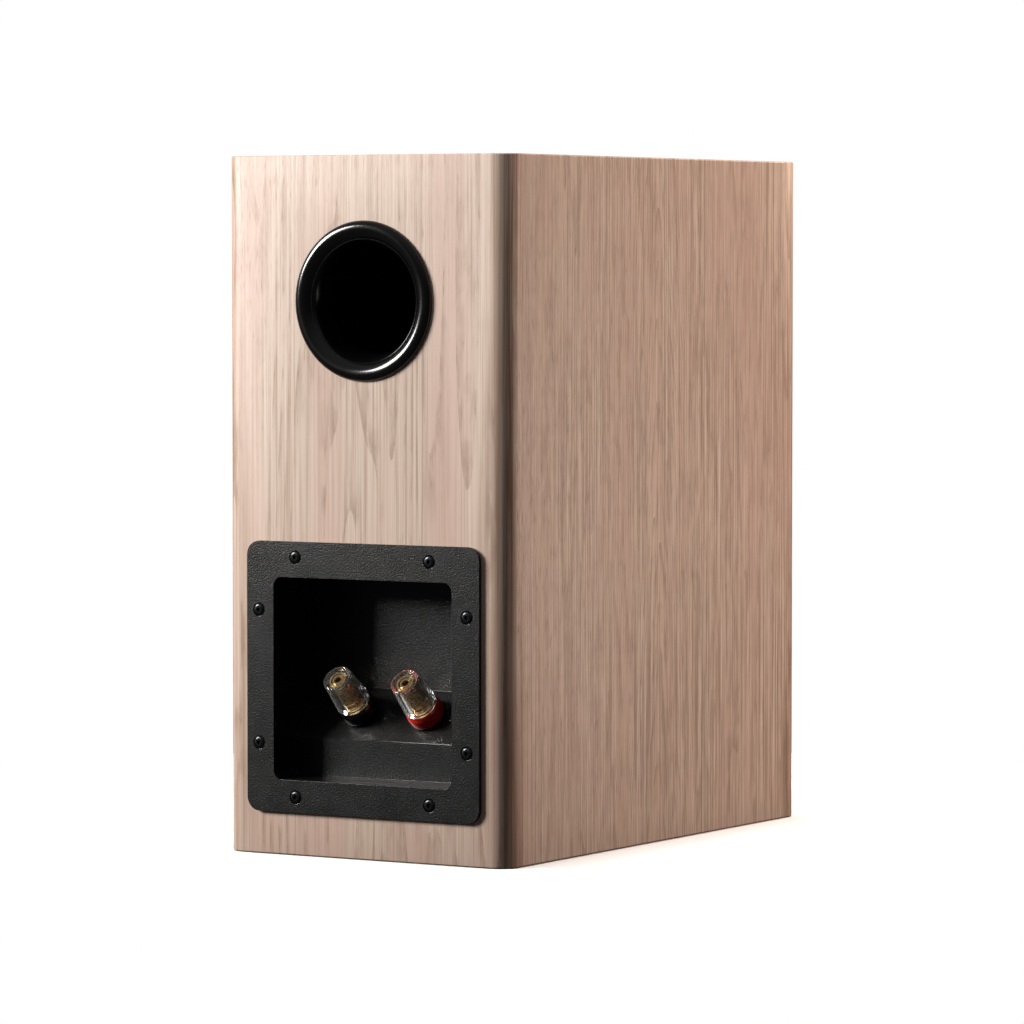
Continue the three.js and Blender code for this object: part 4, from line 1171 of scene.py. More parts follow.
@dataclass
class TerminalTray:
    """The moulded plate with its recess, the foam seal and eight socket screws."""

    bench: Bench
    plate: Triple = (172.0, 171.0, 9.0)
    thickness: float = 2.7
    opening: Triple = (132.0, 128.0, 6.0)
    opening_drop: float = 1.0
    wall: float = 3.0
    lower_depth: float = 22.0
    upper_depth: float = 48.0
    draft: float = 3.0
    stud_hole: float = 4.3
    head_radius: float = 4.0
    head_height: float = 2.0
    head_sink: float = 1.2
    counterbore: float = 1.5
    socket_across: float = 2.6
    socket_depth: float = 1.3
    shank_radius: float = 1.6
    shank_length: float = 12.0
    thread_pitch: float = 1.0

    def __post_init__(self) -> None:
        """Finds the plate, the opening and the shelf from the frame."""
        low, high = (Vector(corner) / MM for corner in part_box("terminal_tray"))
        self.face = high.y
        self.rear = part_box("rear_panel")[1][1] / MM
        self.centre_z = (low.z + high.z) / 2
        self.opening_z = self.centre_z - self.opening_drop
        self.foot, self.axis = self.bench.post_line(Pole.RED)

    def shelf_height(self, y: float, back: float = 0.0) -> float:
        """Height of the slanted shelf at a depth, moved back by a wall thickness."""
        point = self.foot - self.axis * back
        return point.z + (point.y - y) * self.axis.y / self.axis.z

    def recess(self, wall: float, overrun: float) -> list[Point]:
        """Side profile of the recess grown by a wall, as (y, z)."""
        lower, back = self.rear - self.lower_depth - wall, self.rear - self.upper_depth - wall
        half = self.opening[1] / 2 + wall
        slope = math.tan(math.radians(self.draft))
        bottom, top = self.opening_z - half, self.opening_z + half
        return [
            (self.face + overrun, bottom),
            (lower, bottom + slope * (self.face - lower)),
            (lower, self.shelf_height(lower, wall)),
            (back, self.shelf_height(back, wall)),
            (back, top - slope * (self.face - back)),
            (self.face + overrun, top),
        ]

    def screw_places(self) -> list[Vector]:
        """Where the eight screws stand, from the frame."""
        return [centre_of(f"terminal_screw_{number}") / MM for number in range(1, 9)]

    def build(self) -> None:
        """Builds the tray, its seal and its screws."""
        width, height, radius = self.opening
        wall, face = self.wall, self.face
        reach = self.rear - self.upper_depth - 3 * wall
        plate_face = rounded_rectangle(*self.plate, 0, self.centre_z)
        body = slab("terminal_tray", plate_face, self.rear + 0.3, face, Axis.Y)
        outside = combine(
            slab("cup_side", self.recess(wall, -0.4), -width / 2 - wall, width / 2 + wall, Axis.X),
            [slab("cup_face", rounded_rectangle(width + 2 * wall, height + 2 * wall, radius + wall, 0, self.opening_z), reach, face - 0.4, Axis.Y)],
            "INTERSECT",
        )
        inside = combine(
            slab("hollow_side", self.recess(0, 2), -width / 2, width / 2, Axis.X),
            [slab("hollow_face", rounded_rectangle(width, height, radius, 0, self.opening_z), reach, face + 2, Axis.Y)],
            "INTERSECT",
        )
        body = combine(body, [outside], "UNION")
        cuts = [inside]
        for pole in Pole:
            foot, axis = self.bench.post_line(pole)
            cutter = turned("stud_cut", [(0, -9), (self.stud_hole, -9), (self.stud_hole, 6), (0, 6)], 32)
            cuts.append(moved(cutter, frame_along(foot, axis)))
        for place in self.screw_places():
            cutter = turned(
                "screw_cut",
                [
                    (0, self.rear - 1),
                    (self.shank_radius + 0.3, self.rear - 1),
                    (self.shank_radius + 0.3, face - self.counterbore),
                    (self.head_radius + 0.35, face - self.counterbore),
                    (self.head_radius + 0.35, face + 1),
                    (0, face + 1),
                ],
                32,
            )
            cuts.append(moved(cutter, at(place.x, 0, place.z)))
        body = combine(body, cuts)
        self.bench.fit(
            "terminal_tray_moulded",
            body,
            GRAINED_ABS,
            replaces="terminal_tray",
            rounding=0.7,
            edge=EDGE_ABS,
        )
        self.seal()
        for number in range(1, 9):
            self.screw(number)

    def seal(self) -> None:
        """Builds the foam strip that the plate presses on the board."""
        low, high = (Vector(corner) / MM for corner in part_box("terminal_gasket"))
        strip = 3.5
        outline = rounded_rectangle(high.x - low.x, high.z - low.z, 13.1, 0, (low.z + high.z) / 2)
        hole = rounded_rectangle(
            high.x - low.x - 2 * strip, high.z - low.z - 2 * strip, 9.6, 0, (low.z + high.z) / 2
        )
        ring = combine(
            slab("seal", outline, low.y, high.y, Axis.Y),
            [slab("seal_cut", hole, low.y - 1, high.y + 1, Axis.Y)],
        )
        self.bench.fit("terminal_seal_foam", ring, NEOPRENE_FOAM, replaces="terminal_gasket", rounding=0.3)

    def screw(self, number: int) -> None:
        """Builds one screw: domed rim, hexagon socket and a ridged shank."""
        node = f"terminal_screw_{number}"
        low, high = (Vector(corner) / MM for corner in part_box(node))
        head = socket_screw(
            node,
            self.head_radius,
            self.head_height,
            self.socket_across,
            self.socket_depth,
            self.shank_radius,
            self.shank_length,
            self.thread_pitch,
        )
        place = at((low.x + high.x) / 2, high.y, (low.z + high.z) / 2)
        self.bench.fit(f"terminal_screw_{number}_socket", head, BLACK_ZINC, place=place, replaces=node)


def socket_screw(
    name: str,
    head_radius: float,
    head_height: float,
    across: float,
    depth: float,
    shank_radius: float,
    shank_length: float,
    pitch: float,
) -> Mesh:
    """Makes a screw along -Y from its head's top at 0: rounded head, hexagon socket, ridged shank.

    Args:
        name: The mesh's name.
        head_radius: Radius of the head.
        head_height: Height of the head.
        across: Socket width across flats.
        depth: Socket depth.
        shank_radius: Outer radius of the thread.
        shank_length: Length from under the head to the tip's start.
        pitch: Thread pitch.

    Returns:
        The mesh, in metres.
    """
    ease = head_radius * 0.5
    rise = head_height * 0.7
    profile = [
        (0, 0), *arc((head_radius - ease, -rise), ease, rise, 90, 0, 10), (head_radius, -head_height)
    ]
    profile.append((shank_radius, -head_height))
    root = shank_radius * 0.78
    turns = int((shank_length - head_height) / pitch)
    for turn in range(turns):
        level = -head_height - turn * pitch
        profile += [
            (shank_radius, level - 0.1 * pitch),
            (root, level - 0.5 * pitch),
            (shank_radius, level - 0.9 * pitch),
        ]
    profile.append((0, -shank_length - 1.2))
    screw = turned(name, profile, 40)
    socket = slab("socket", polygon(6, across, 30), -depth, 1, Axis.Y)
    return combine(screw, [socket])


# ---------------------------------------------------------------------------------------------
# Binding posts
# ---------------------------------------------------------------------------------------------


@dataclass
class BindingPost:
    """One post: coloured collar, clear screw cap with its metal insert, washer, stud and rear nut.

    Its own frame stands at the shelf with Y along the stud.
    """

    bench: Bench
    pole: Pole
    collar_radius: float = 12.0
    collar_height: float = 11.0
    collar_rounds: tuple[Point, Point] = ((1.8, 4.0), (2.4, 5.0))
    bore_radius: float = 4.3
    cap_foot: float = 11.6
    cap_base_radius: float = 11.3
    cap_tip_radius: float = 9.4
    cap_length: float = 25.5
    funnel_radius: float = 8.1
    funnel_depth: float = 2.6
    insert_radius: float = 6.0
    insert_foot: float = 13.5
    insert_drop: float = 1.0
    groove: Triple = (16.4, 18.0, 5.0)
    washer_radius: float = 7.0
    washer_thickness: float = 1.6
    stud_radius: float = 4.0
    stud_back: float = -17.0
    stud_tip: float = 35.5
    banana_radius: float = 2.1
    banana_depth: float = 18.0
    thread_pitch: float = 1.0
    nut_across: float = 13.0
    nut_face: float = -3.3
    nut_height: float = 5.0

    def build(self) -> None:
        """Builds the six pieces and hangs each on its body."""
        colour = self.pole.value
        place = frame_along(*self.bench.post_line(self.pole))
        fixed, clamp, turning = "cabinet", f"{colour}_clamp", f"{colour}_cap_turning"
        shell = RED_PC if self.pole is Pole.RED else BLACK_PC
        pieces = [
            ("collar", self.collar(), shell, fixed),
            ("cap", self.cap(), ACRYLIC, turning),
            ("cap_insert", self.insert(), GOLD_PLATE, turning),
            ("clamp_washer", self.washer(), GOLD_PLATE, clamp),
            ("stud", self.stud(), GOLD_PLATE, fixed),
            ("rear_nut", self.nut(), GOLD_PLATE, fixed),
        ]
        for part, mesh, finish, body in pieces:
            node = f"{colour}_{part}"
            self.bench.fit(f"{node}_fine", mesh, finish, body, place, replaces=node)

    def collar(self) -> Mesh:
        """Solid coloured ring between shelf and clamp, rounded at its top rim."""
        top, edge = 0.3 + self.collar_height, self.collar_radius
        (low_u, low_v), (high_u, high_v) = self.collar_rounds
        profile = [(self.bore_radius, 0.3), *arc((edge - low_u, 0.3 + low_v), low_u, low_v, -90, 0, 12)]
        profile += arc((edge - high_u, top - high_v), high_u, high_v, 0, 90, 14)
        profile += [(self.bore_radius + 0.4, top), (self.bore_radius, top - 0.4)]
        return turned("collar", profile)

    def cap(self) -> Mesh:
        """Clear screw cap: tapered outside, funnel at the tip, metal insert moulded in."""
        foot, top = self.cap_foot, self.cap_foot + self.cap_length
        pocket = self.washer_radius + 0.3
        seat = foot + self.washer_thickness + 0.3
        bore = self.insert_radius + 0.3
        base, tip = self.cap_base_radius, self.cap_tip_radius
        profile = [
            (pocket, foot),
            *arc((base - 1.2, foot + 1.2), 1.2, 1.2, -90, 0, 8),
            *arc((tip - 1.0, top - 1.0), 1.0, 1.0, 0, 90, 8),
            (self.funnel_radius, top - 0.15),
            (bore + 0.5, top - self.funnel_depth),
            (bore, top - self.funnel_depth),
            (bore, seat),
            (pocket, seat),
        ]
        return turned("cap", profile, 128)

    def insert(self) -> Mesh:
        """Threaded metal sleeve inside the cap, with a lip at the tip and a groove near its foot."""
        top, radius, bore = self.cap_foot + self.cap_length - 0.3, self.insert_radius, self.bore_radius
        low, high, root = self.groove
        lip = top - self.insert_drop
        profile = [
            (bore, self.insert_foot),
            (radius, self.insert_foot),
            (radius, low),
            (root, low + 0.3),
            (root, high - 0.3),
            (radius, high),
            (radius, lip - 0.5),
            (radius - 0.5, lip),
            (bore + 0.4, lip),
            (bore, lip - 0.4),
        ]
        return turned("insert", profile)

    def washer(self) -> Mesh:
        """Flat ring that presses the wire, with rounded edges."""
        low, high, edge = self.cap_foot, self.cap_foot + self.washer_thickness, self.washer_radius
        middle, half = (low + high) / 2, self.washer_thickness / 2
        profile = [
            (self.bore_radius, low),
            *arc((edge - half, middle), half, half, -90, 90, 10),
            (self.bore_radius, high),
        ]
        return turned("washer", profile)

    def stud(self) -> Mesh:
        """Fixed stud with a banana socket in its tip and a thread over its tail."""
        radius, root, tip, bore = self.stud_radius, self.stud_radius * 0.86, self.stud_tip, self.banana_radius
        profile = [(0, self.stud_back), (root - 0.4, self.stud_back), (root, self.stud_back + 0.4)]
        level = self.stud_back + 0.6
        while level < self.nut_face + 2:
            profile += [(radius, level + 0.4 * self.thread_pitch), (root, level + 0.9 * self.thread_pitch)]
            level += self.thread_pitch
        profile += [
            (radius, level), (radius, tip - 0.5), (radius - 0.5, tip), (bore + 0.5, tip), (bore, tip - 0.5)
        ]
        profile += [(bore, tip - self.banana_depth), (0, tip - self.banana_depth - 0.6)]
        return turned("stud", profile, 64)

    def nut(self) -> Mesh:
        """Hexagon nut with turned corners, behind the tray."""
        low, high = self.nut_face - self.nut_height, self.nut_face
        corner = self.nut_across / 2 / math.cos(math.pi / 6)
        block = slab("nut", polygon(6, self.nut_across), low, high, Axis.Y)
        face = self.nut_across / 2 - 0.1
        rise = (corner - face) * 0.55
        rounded = [
            (0, low), (face, low), (corner, low + rise), (corner, high - rise), (face, high), (0, high)
        ]
        shaped = combine(block, [turned("nut_round", rounded, 64)], "INTERSECT")
        bore = turned(
            "nut_bore",
            [(0, low - 1), (self.bore_radius, low - 1), (self.bore_radius, high + 1), (0, high + 1)],
            48,
        )
        return combine(shaped, [bore])


def frame_along(foot: Vector, axis: Vector) -> Matrix:
    """A frame at a foot in millimetres whose Y runs along an axis and whose X stays the world's."""
    side = Vector((1, 0, 0))
    turn = Matrix((side, axis, side.cross(axis))).transposed().to_4x4()
    return Matrix.Translation(foot * MM) @ turn


# ---------------------------------------------------------------------------------------------
# Drive units; distances run inwards from the front of the baffle
# ---------------------------------------------------------------------------------------------


def bend_round(
    piece: bpy.types.Object
) -> None:
    """Bakes a ring's placement into its own points.

    Args:
        piece: The ring, placed in the frame.
    """
    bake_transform(piece)


def skin(line: list[Point], thickness: float) -> list[Point]:
    """Gives a thin line of revolution its wall, measured along Y."""
    return [*line, *[(r, y + thickness) for r, y in reversed(line)]]


def dome(radius: float, rise: float, wall: float, foot: float) -> list[Point]:
    """Profile of a thin dome whose crown rises towards -Y from its foot."""
    outer = arc((0, foot), radius, rise, -90, 0, 18)
    inner = arc((0, foot), radius - wall, rise - wall, 0, -90, 18)
    return [(0, outer[0][1]), *outer[1:], *inner[:-1], (0, inner[-1][1])]


def plate_ring(outer: float, inner: float, low: float, high: float, chamfer: float = 0.6) -> list[Point]:
    """Profile of a ring with its outer edges chamfered."""
    return [
        (inner, low),
        (outer - chamfer, low),
        (outer, low + chamfer),
        (outer, high - chamfer),
        (outer - chamfer, high),
        (inner, high),
    ]


def fixing_screws(
    bench: Bench, prefix: str, centre: Vector, radius: float, count: int, head: float, start: float
) -> None:
    """Sets black countersunk screws round a driver's rim, heads level with it.

    Args:
        bench: Where pieces are fitted.
        prefix: Start of their names.
        centre: Where the driver's axis meets the baffle's face, in millimetres.
        radius: Radius of the screw circle.
        count: How many screws.
        head: Head radius.
        start: Angle of the first screw in degrees.
    """
    flip = Matrix.Rotation(math.pi, 4, "Z")
    for number in range(count):
        angle = math.radians(start + 360 * number / count)
        screw = socket_screw("fixing", head, 1.6, head * 0.75, 1.2, 1.7, 17.0, 1.2)
        place = at(
            centre.x + radius * math.cos(angle), centre.y, centre.z + radius * math.sin(angle)
        ) @ flip
        bench.fit(f"{prefix}_screw_{number + 1}", screw, BLACK_ZINC, place=place)


@dataclass
class Woofer:
    """The 17 cm bass unit: cast basket, rubber surround, pulp cone, ferrite motor."""

    bench: Bench
    body: str = "woofer_moving_parts"
    flange_radius: float = 85.0
    flange_thickness: float = 5.0
    ledge: Triple = (66.0, 74.0, 1.3)
    leg_radius: float = 77.5
    leg_wall: float = 4.5
    seat_radius: float = 51.3
    seat_depth: float = 37.0
    back_radius: float = 56.0
    back_depth: float = 50.0
    back_hole: float = 20.0
    windows: int = 6
    window: Triple = (38.0, 8.0, 33.0)
    roll: Point = (57.0, 67.0)
    roll_height: float = 4.0
    inner_edge: float = 53.0
    wall: float = 0.8
    cone_edge: float = 56.5
    cone_front: float = 1.3
    neck: Point = (16.6, 21.0)
    curve: float = 1.25
    cap: Triple = (18.0, 6.0, 1.0)
    former: Point = (15.2, 15.7)
    coil_radius: float = 16.3
    coil: Point = (45.3, 61.3)
    spider: Point = (16.0, 51.0)
    spider_level: float = 35.9
    spider_waves: int = 6
    spider_rise: float = 1.4
    screw_circle: float = 79.5
    screw_head: float = 3.6

    def build(self) -> None:
        """Builds the unit on its own axis at the front of the baffle."""
        middle = centre_of("woofer_basket") / MM
        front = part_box("front_baffle")[0][1] / MM
        self.centre = Vector((middle.x, front, middle.z))
        place = at(*self.centre)
        fit = self.bench.fit
        fit(
            "woofer_basket_cast",
            self.basket(),
            POWDER_COAT,
            place=place,
            replaces="woofer_basket",
            rounding=0.5,
        )
        fit("woofer_cone_pulp", self.cone(), PULP_CONE, self.body, place, replaces="woofer_cone")
        fit(
            "woofer_dust_cap_cloth",
            self.dust_cap(),
            CAP_CLOTH,
            self.body,
            place,
            replaces="woofer_dust_cap",
        )
        fit(
            "woofer_voice_coil_wound",
            self.voice_coil(),
            COPPER_WIRE,
            self.body,
            place,
            replaces="woofer_voice_coil",
        )
        surround = self.bench.prepare("woofer_surround_rubber", self.surround(), NITRILE_RUBBER, place)
        bend_round(surround)
        self.bench.declare(surround, "woofer_surround", None)
        spider = self.bench.prepare("woofer_spider_cloth", self.spider_cloth(), SPIDER_CLOTH, place)
        bend_round(spider)
        self.bench.declare(spider, "woofer_spider", None)
        plate = turned("top_plate", plate_ring(46, 17.2, self.back_depth + 0.3, self.back_depth + 6.3))
        fit("woofer_top_plate_steel", plate, ZINC_STEEL, place=place, replaces="woofer_top_plate")
        magnet = turned("magnet", plate_ring(50, 21, self.back_depth + 6.6, self.back_depth + 22.6, 1.0))
        fit("woofer_magnet_ferrite", magnet, FERRITE, place=place, replaces="woofer_magnet")
        fit("woofer_yoke_steel", self.yoke(), ZINC_STEEL, place=place, replaces="woofer_yoke")
        fixing_screws(self.bench, "woofer", self.centre, self.screw_circle, 6, self.screw_head, 30)

    def basket(self) -> Mesh:
        """Cast basket: flange, tapered legs between six windows, seat for the spider and back ring."""
        inner, outer, ledge = self.ledge
        back, ring = self.back_depth, self.back_depth - 3
        spider_foot = self.seat_radius - 6.3
        leg_inner = self.leg_radius - self.leg_wall
        profile = [
            (self.flange_radius, 0.5),
            (self.flange_radius, self.flange_thickness),
            (self.leg_radius, self.flange_thickness),
            (self.seat_radius + 5, self.seat_depth),
            (self.back_radius, self.seat_depth + 5),
            (self.back_radius, back),
            (self.back_hole, back),
            (self.back_hole, ring),
            (spider_foot, ring),
            (spider_foot, self.seat_depth),
            (self.seat_radius, self.seat_depth),
            (self.seat_radius, self.seat_depth - 3),
            (leg_inner, self.flange_thickness),
            (inner, self.flange_thickness - 1),
            (inner, ledge),
            (outer, ledge),
            (outer, 0),
            (self.flange_radius - 0.5, 0),
        ]
        width, low, high = self.window
        cuts = []
        for number in range(self.windows):
            outline = rounded_rectangle(width, high - low, 5.0, 0, (low + high) / 2)
            cutter = slab("window", outline, spider_foot, self.flange_radius, Axis.Z)
            turn = Matrix.Rotation(2 * math.pi * (number + 0.5) / self.windows + math.pi / 2, 4, "Y")
            cuts.append(moved(cutter, turn))
        recess = self.screw_head + 0.3
        for number in range(6):
            angle = math.radians(30 + 60 * number)
            cutter = turned(
                "seat", [(0, -1), (recess, -1), (recess, 1.9), (2.2, 1.9), (2.2, 6), (0, 6)], 32
            )
            cuts.append(moved(cutter, at(self.screw_circle * math.cos(angle), 0, self.screw_circle * math.sin(angle))))
        return combine(turned("basket", profile, 144), cuts)

    def surround(self) -> Mesh:
        """Half-roll of rubber from the cone's edge to the basket's ledge."""
        foot = self.ledge[2] - 0.3 - self.wall
        middle, half = (self.roll[0] + self.roll[1]) / 2, (self.roll[1] - self.roll[0]) / 2
        line = [(self.inner_edge, foot), (self.inner_edge + 2, foot)]
        line += arc((middle, foot), half, self.roll_height + foot, 180, 360, 28)
        line += [(self.roll[1] + 3, foot), (self.ledge[1] - 0.3, foot)]
        return turned("surround", skin(line, self.wall), 144, 50)

    def cone_depth(self, radius: float) -> float:
        """Depth of the cone's front face at a radius."""
        share = (self.inner_edge - radius) / (self.inner_edge - self.neck[0])
        return self.cone_front + (self.neck[1] - self.cone_front) * share**self.curve

    def cone(self) -> Mesh:
        """Curved pulp cone with a flat glued rim."""
        steps = 26
        line = [(self.cone_edge, self.cone_front)]
        for step in range(steps + 1):
            radius = self.inner_edge + (self.neck[0] - self.inner_edge) * step / steps
            line.append((radius, self.cone_depth(radius)))
        return turned("cone", skin(line, self.wall), 144, 50)

    def dust_cap(self) -> Mesh:
        """Soft dome over the voice coil, its foot on the cone."""
        radius, rise, wall = self.cap
        return turned("dust_cap", dome(radius, rise, wall, self.cone_depth(radius) - 1.1), 96, 50)

    def voice_coil(self) -> Mesh:
        """Thin former with a close winding over its rear end."""
        inner, outer = self.former
        start, end = self.coil
        profile = [(inner, self.neck[1]), (outer, self.neck[1]), (outer, start)]
        turns = 32
        pitch = (end - start) / turns
        for turn in range(turns):
            level = start + turn * pitch
            profile += [(self.coil_radius - 0.12, level), (self.coil_radius, level + pitch / 2)]
        profile += [(self.coil_radius - 0.12, end), (inner, end)]
        return turned("voice_coil", profile, 72, 60)

    def spider_cloth(self) -> Mesh:
        """Corrugated cloth disc that centres the coil."""
        inner, outer = self.spider
        foot, steps = outer - 7, 96
        line = []
        for step in range(steps + 1):
            share = step / steps
            wave = math.sin(share * 2 * math.pi * self.spider_waves) * 0.5 - 0.5
            line.append((inner + (foot - inner) * share, self.spider_level + wave * self.spider_rise))
        line += [(foot + 1, self.spider_level - 0.35), (outer, self.spider_level)]
        return turned("spider", skin(line, self.wall), 96, 60)

    def yoke(self) -> Mesh:
        """Back plate in one with the pole piece, bored through for air."""
        front = self.back_depth + 22.9
        profile = [
            (5, self.back_depth + 1),
            (6, self.back_depth),
            (14.1, self.back_depth),
            (14.6, self.back_depth + 0.5),
            (14.6, front),
            (45.2, front),
            (46, front + 0.8),
            (46, front + 5.2),
            (45.2, front + 6),
            (7, front + 6),
            (5, front + 4),
        ]
        return turned("yoke", profile)


@dataclass
class Tweeter:
    """The soft-dome treble unit behind a shallow horn plate."""

    bench: Bench
    body: str = "tweeter_moving_parts"
    plate_radius: float = 50.0
    plate_thickness: float = 4.0
    guide_radius: float = 30.0
    mouth: Point = (18.5, 2.8)
    dome_size: Triple = (13.2, 6.2, 0.7)
    dome_foot: float = 5.6
    roll: Point = (13.5, 17.2)
    roll_height: float = 1.2
    foot_radius: float = 24.0
    coil: Triple = (12.4, 13.1, 7.0)
    top_plate: Triple = (33.0, 13.6, 8.0)
    magnet: Triple = (36.0, 18.0, 12.3)
    yoke_radius: float = 32.0
    pole_radius: float = 11.9
    chamber_radius: float = 30.0
    screw_circle: float = 43.0
    screw_head: float = 3.3

    def build(self) -> None:
        """Builds the unit on its own axis at the front of the baffle."""
        middle = centre_of("tweeter_faceplate") / MM
        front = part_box("front_baffle")[0][1] / MM
        centre = Vector((middle.x, front, middle.z))
        place = at(*centre)
        fit = self.bench.fit
        fit(
            "tweeter_faceplate_moulded",
            self.faceplate(),
            MATT_ABS,
            place=place,
            replaces="tweeter_faceplate",
        )
        crown = turned("dome", dome(*self.dome_size, self.dome_foot), 96, 50)
        fit("tweeter_dome_silk", crown, DOME_SILK, self.body, place, replaces="tweeter_dome")
        surround = self.bench.prepare("tweeter_surround_silk", self.surround(), DOME_SILK, place)
        bend_round(surround)
        self.bench.declare(surround, "tweeter_surround", None)
        fit(
            "tweeter_voice_coil_wound",
            self.voice_coil(),
            COPPER_WIRE,
            self.body,
            place,
            replaces="tweeter_voice_coil",
        )
        outer, inner, low = self.top_plate
        plate = turned("top_plate", plate_ring(outer, inner, low, low + 4, 0.4))
        fit("tweeter_top_plate_steel", plate, ZINC_STEEL, place=place, replaces="tweeter_top_plate")
        outer, inner, low = self.magnet
        ring = turned("magnet", plate_ring(outer, inner, low, low + 10, 0.8))
        fit("tweeter_magnet_ferrite", ring, FERRITE, place=place, replaces="tweeter_magnet")
        fit("tweeter_yoke_steel", self.yoke(low + 10.3), ZINC_STEEL, place=place, replaces="tweeter_yoke")
        chamber = turned("chamber", self.chamber(low + 14.6))
        fit("tweeter_chamber_moulded", chamber, MATT_ABS, place=place, replaces="tweeter_rear_chamber")
        fixing_screws(self.bench, "tweeter", centre, self.screw_circle, 4, self.screw_head, 45)

    def faceplate(self) -> Mesh:
        """Round plate whose face curves down to the dome."""
        edge, back, guide = self.plate_radius, self.plate_thickness, self.guide_radius
        throat, depth = self.mouth
        profile = [(edge - 0.6, 0), (edge, 0.6), (edge, back), (throat, back), (throat, depth + 0.3)]
        steps = 14
        for step in range(steps + 1):
            share = step / steps
            profile.append((throat + 0.3 + (guide - throat - 0.3) * share, depth * (1 - share) ** 1.7))
        plate = turned("faceplate", profile, 144)
        recess = self.screw_head + 0.3
        cuts = []
        for number in range(4):
            angle = math.radians(45 + 90 * number)
            cutter = turned(
                "seat", [(0, -1), (recess, -1), (recess, 1.9), (2.2, 1.9), (2.2, 5), (0, 5)], 32
            )
            cuts.append(moved(cutter, at(self.screw_circle * math.cos(angle), 0, self.screw_circle * math.sin(angle))))
        return combine(plate, cuts)

    def surround(self) -> Mesh:
        """Small half-roll from the dome's edge to its glued foot."""
        middle, half = (self.roll[0] + self.roll[1]) / 2, (self.roll[1] - self.roll[0]) / 2
        line = arc((middle, self.dome_foot), half, self.roll_height, 180, 360, 18)
        line.append((self.foot_radius, self.dome_foot))
        return turned("surround", skin(line, 0.7), 96, 50)

    def voice_coil(self) -> Mesh:
        """Short winding under the dome's edge."""
        inner, outer, length = self.coil
        start = self.dome_foot + 0.3
        profile = [(inner, start), (outer - 0.1, start)]
        turns = 16
        for turn in range(turns):
            level = start + (turn + 0.5) * length / turns
            profile += [(outer, level), (outer - 0.1, level + 0.5 * length / turns)]
        profile.append((inner, start + length))
        return turned("voice_coil", profile, 64, 60)

    def yoke(self, front: float) -> list[Point] | Mesh:
        """Back plate in one with the pole piece."""
        pole, edge = self.pole_radius, self.yoke_radius
        profile = [
            (0, 8),
            (pole - 0.4, 8),
            (pole, 8.4),
            (pole, front),
            (edge - 0.5, front),
            (edge, front + 0.5),
            (edge, front + 3.5),
            (edge - 0.5, front + 4),
            (0, front + 4),
        ]
        return turned("yoke", profile)

    def chamber(self, front: float) -> list[Point]:
        """Profile of the closed cup behind the motor."""
        edge, back = self.chamber_radius, front + 20
        return [
            (0, back),
            *arc((edge - 3, back - 3), 3, 3, 90, 0, 8),
            (edge, front),
            (edge - 2, front),
            (edge - 2, back - 3),
            (edge - 3, back - 2),
            (0, back - 2),
        ]


# ---------------------------------------------------------------------------------------------
# Crossover and leads
# ---------------------------------------------------------------------------------------------


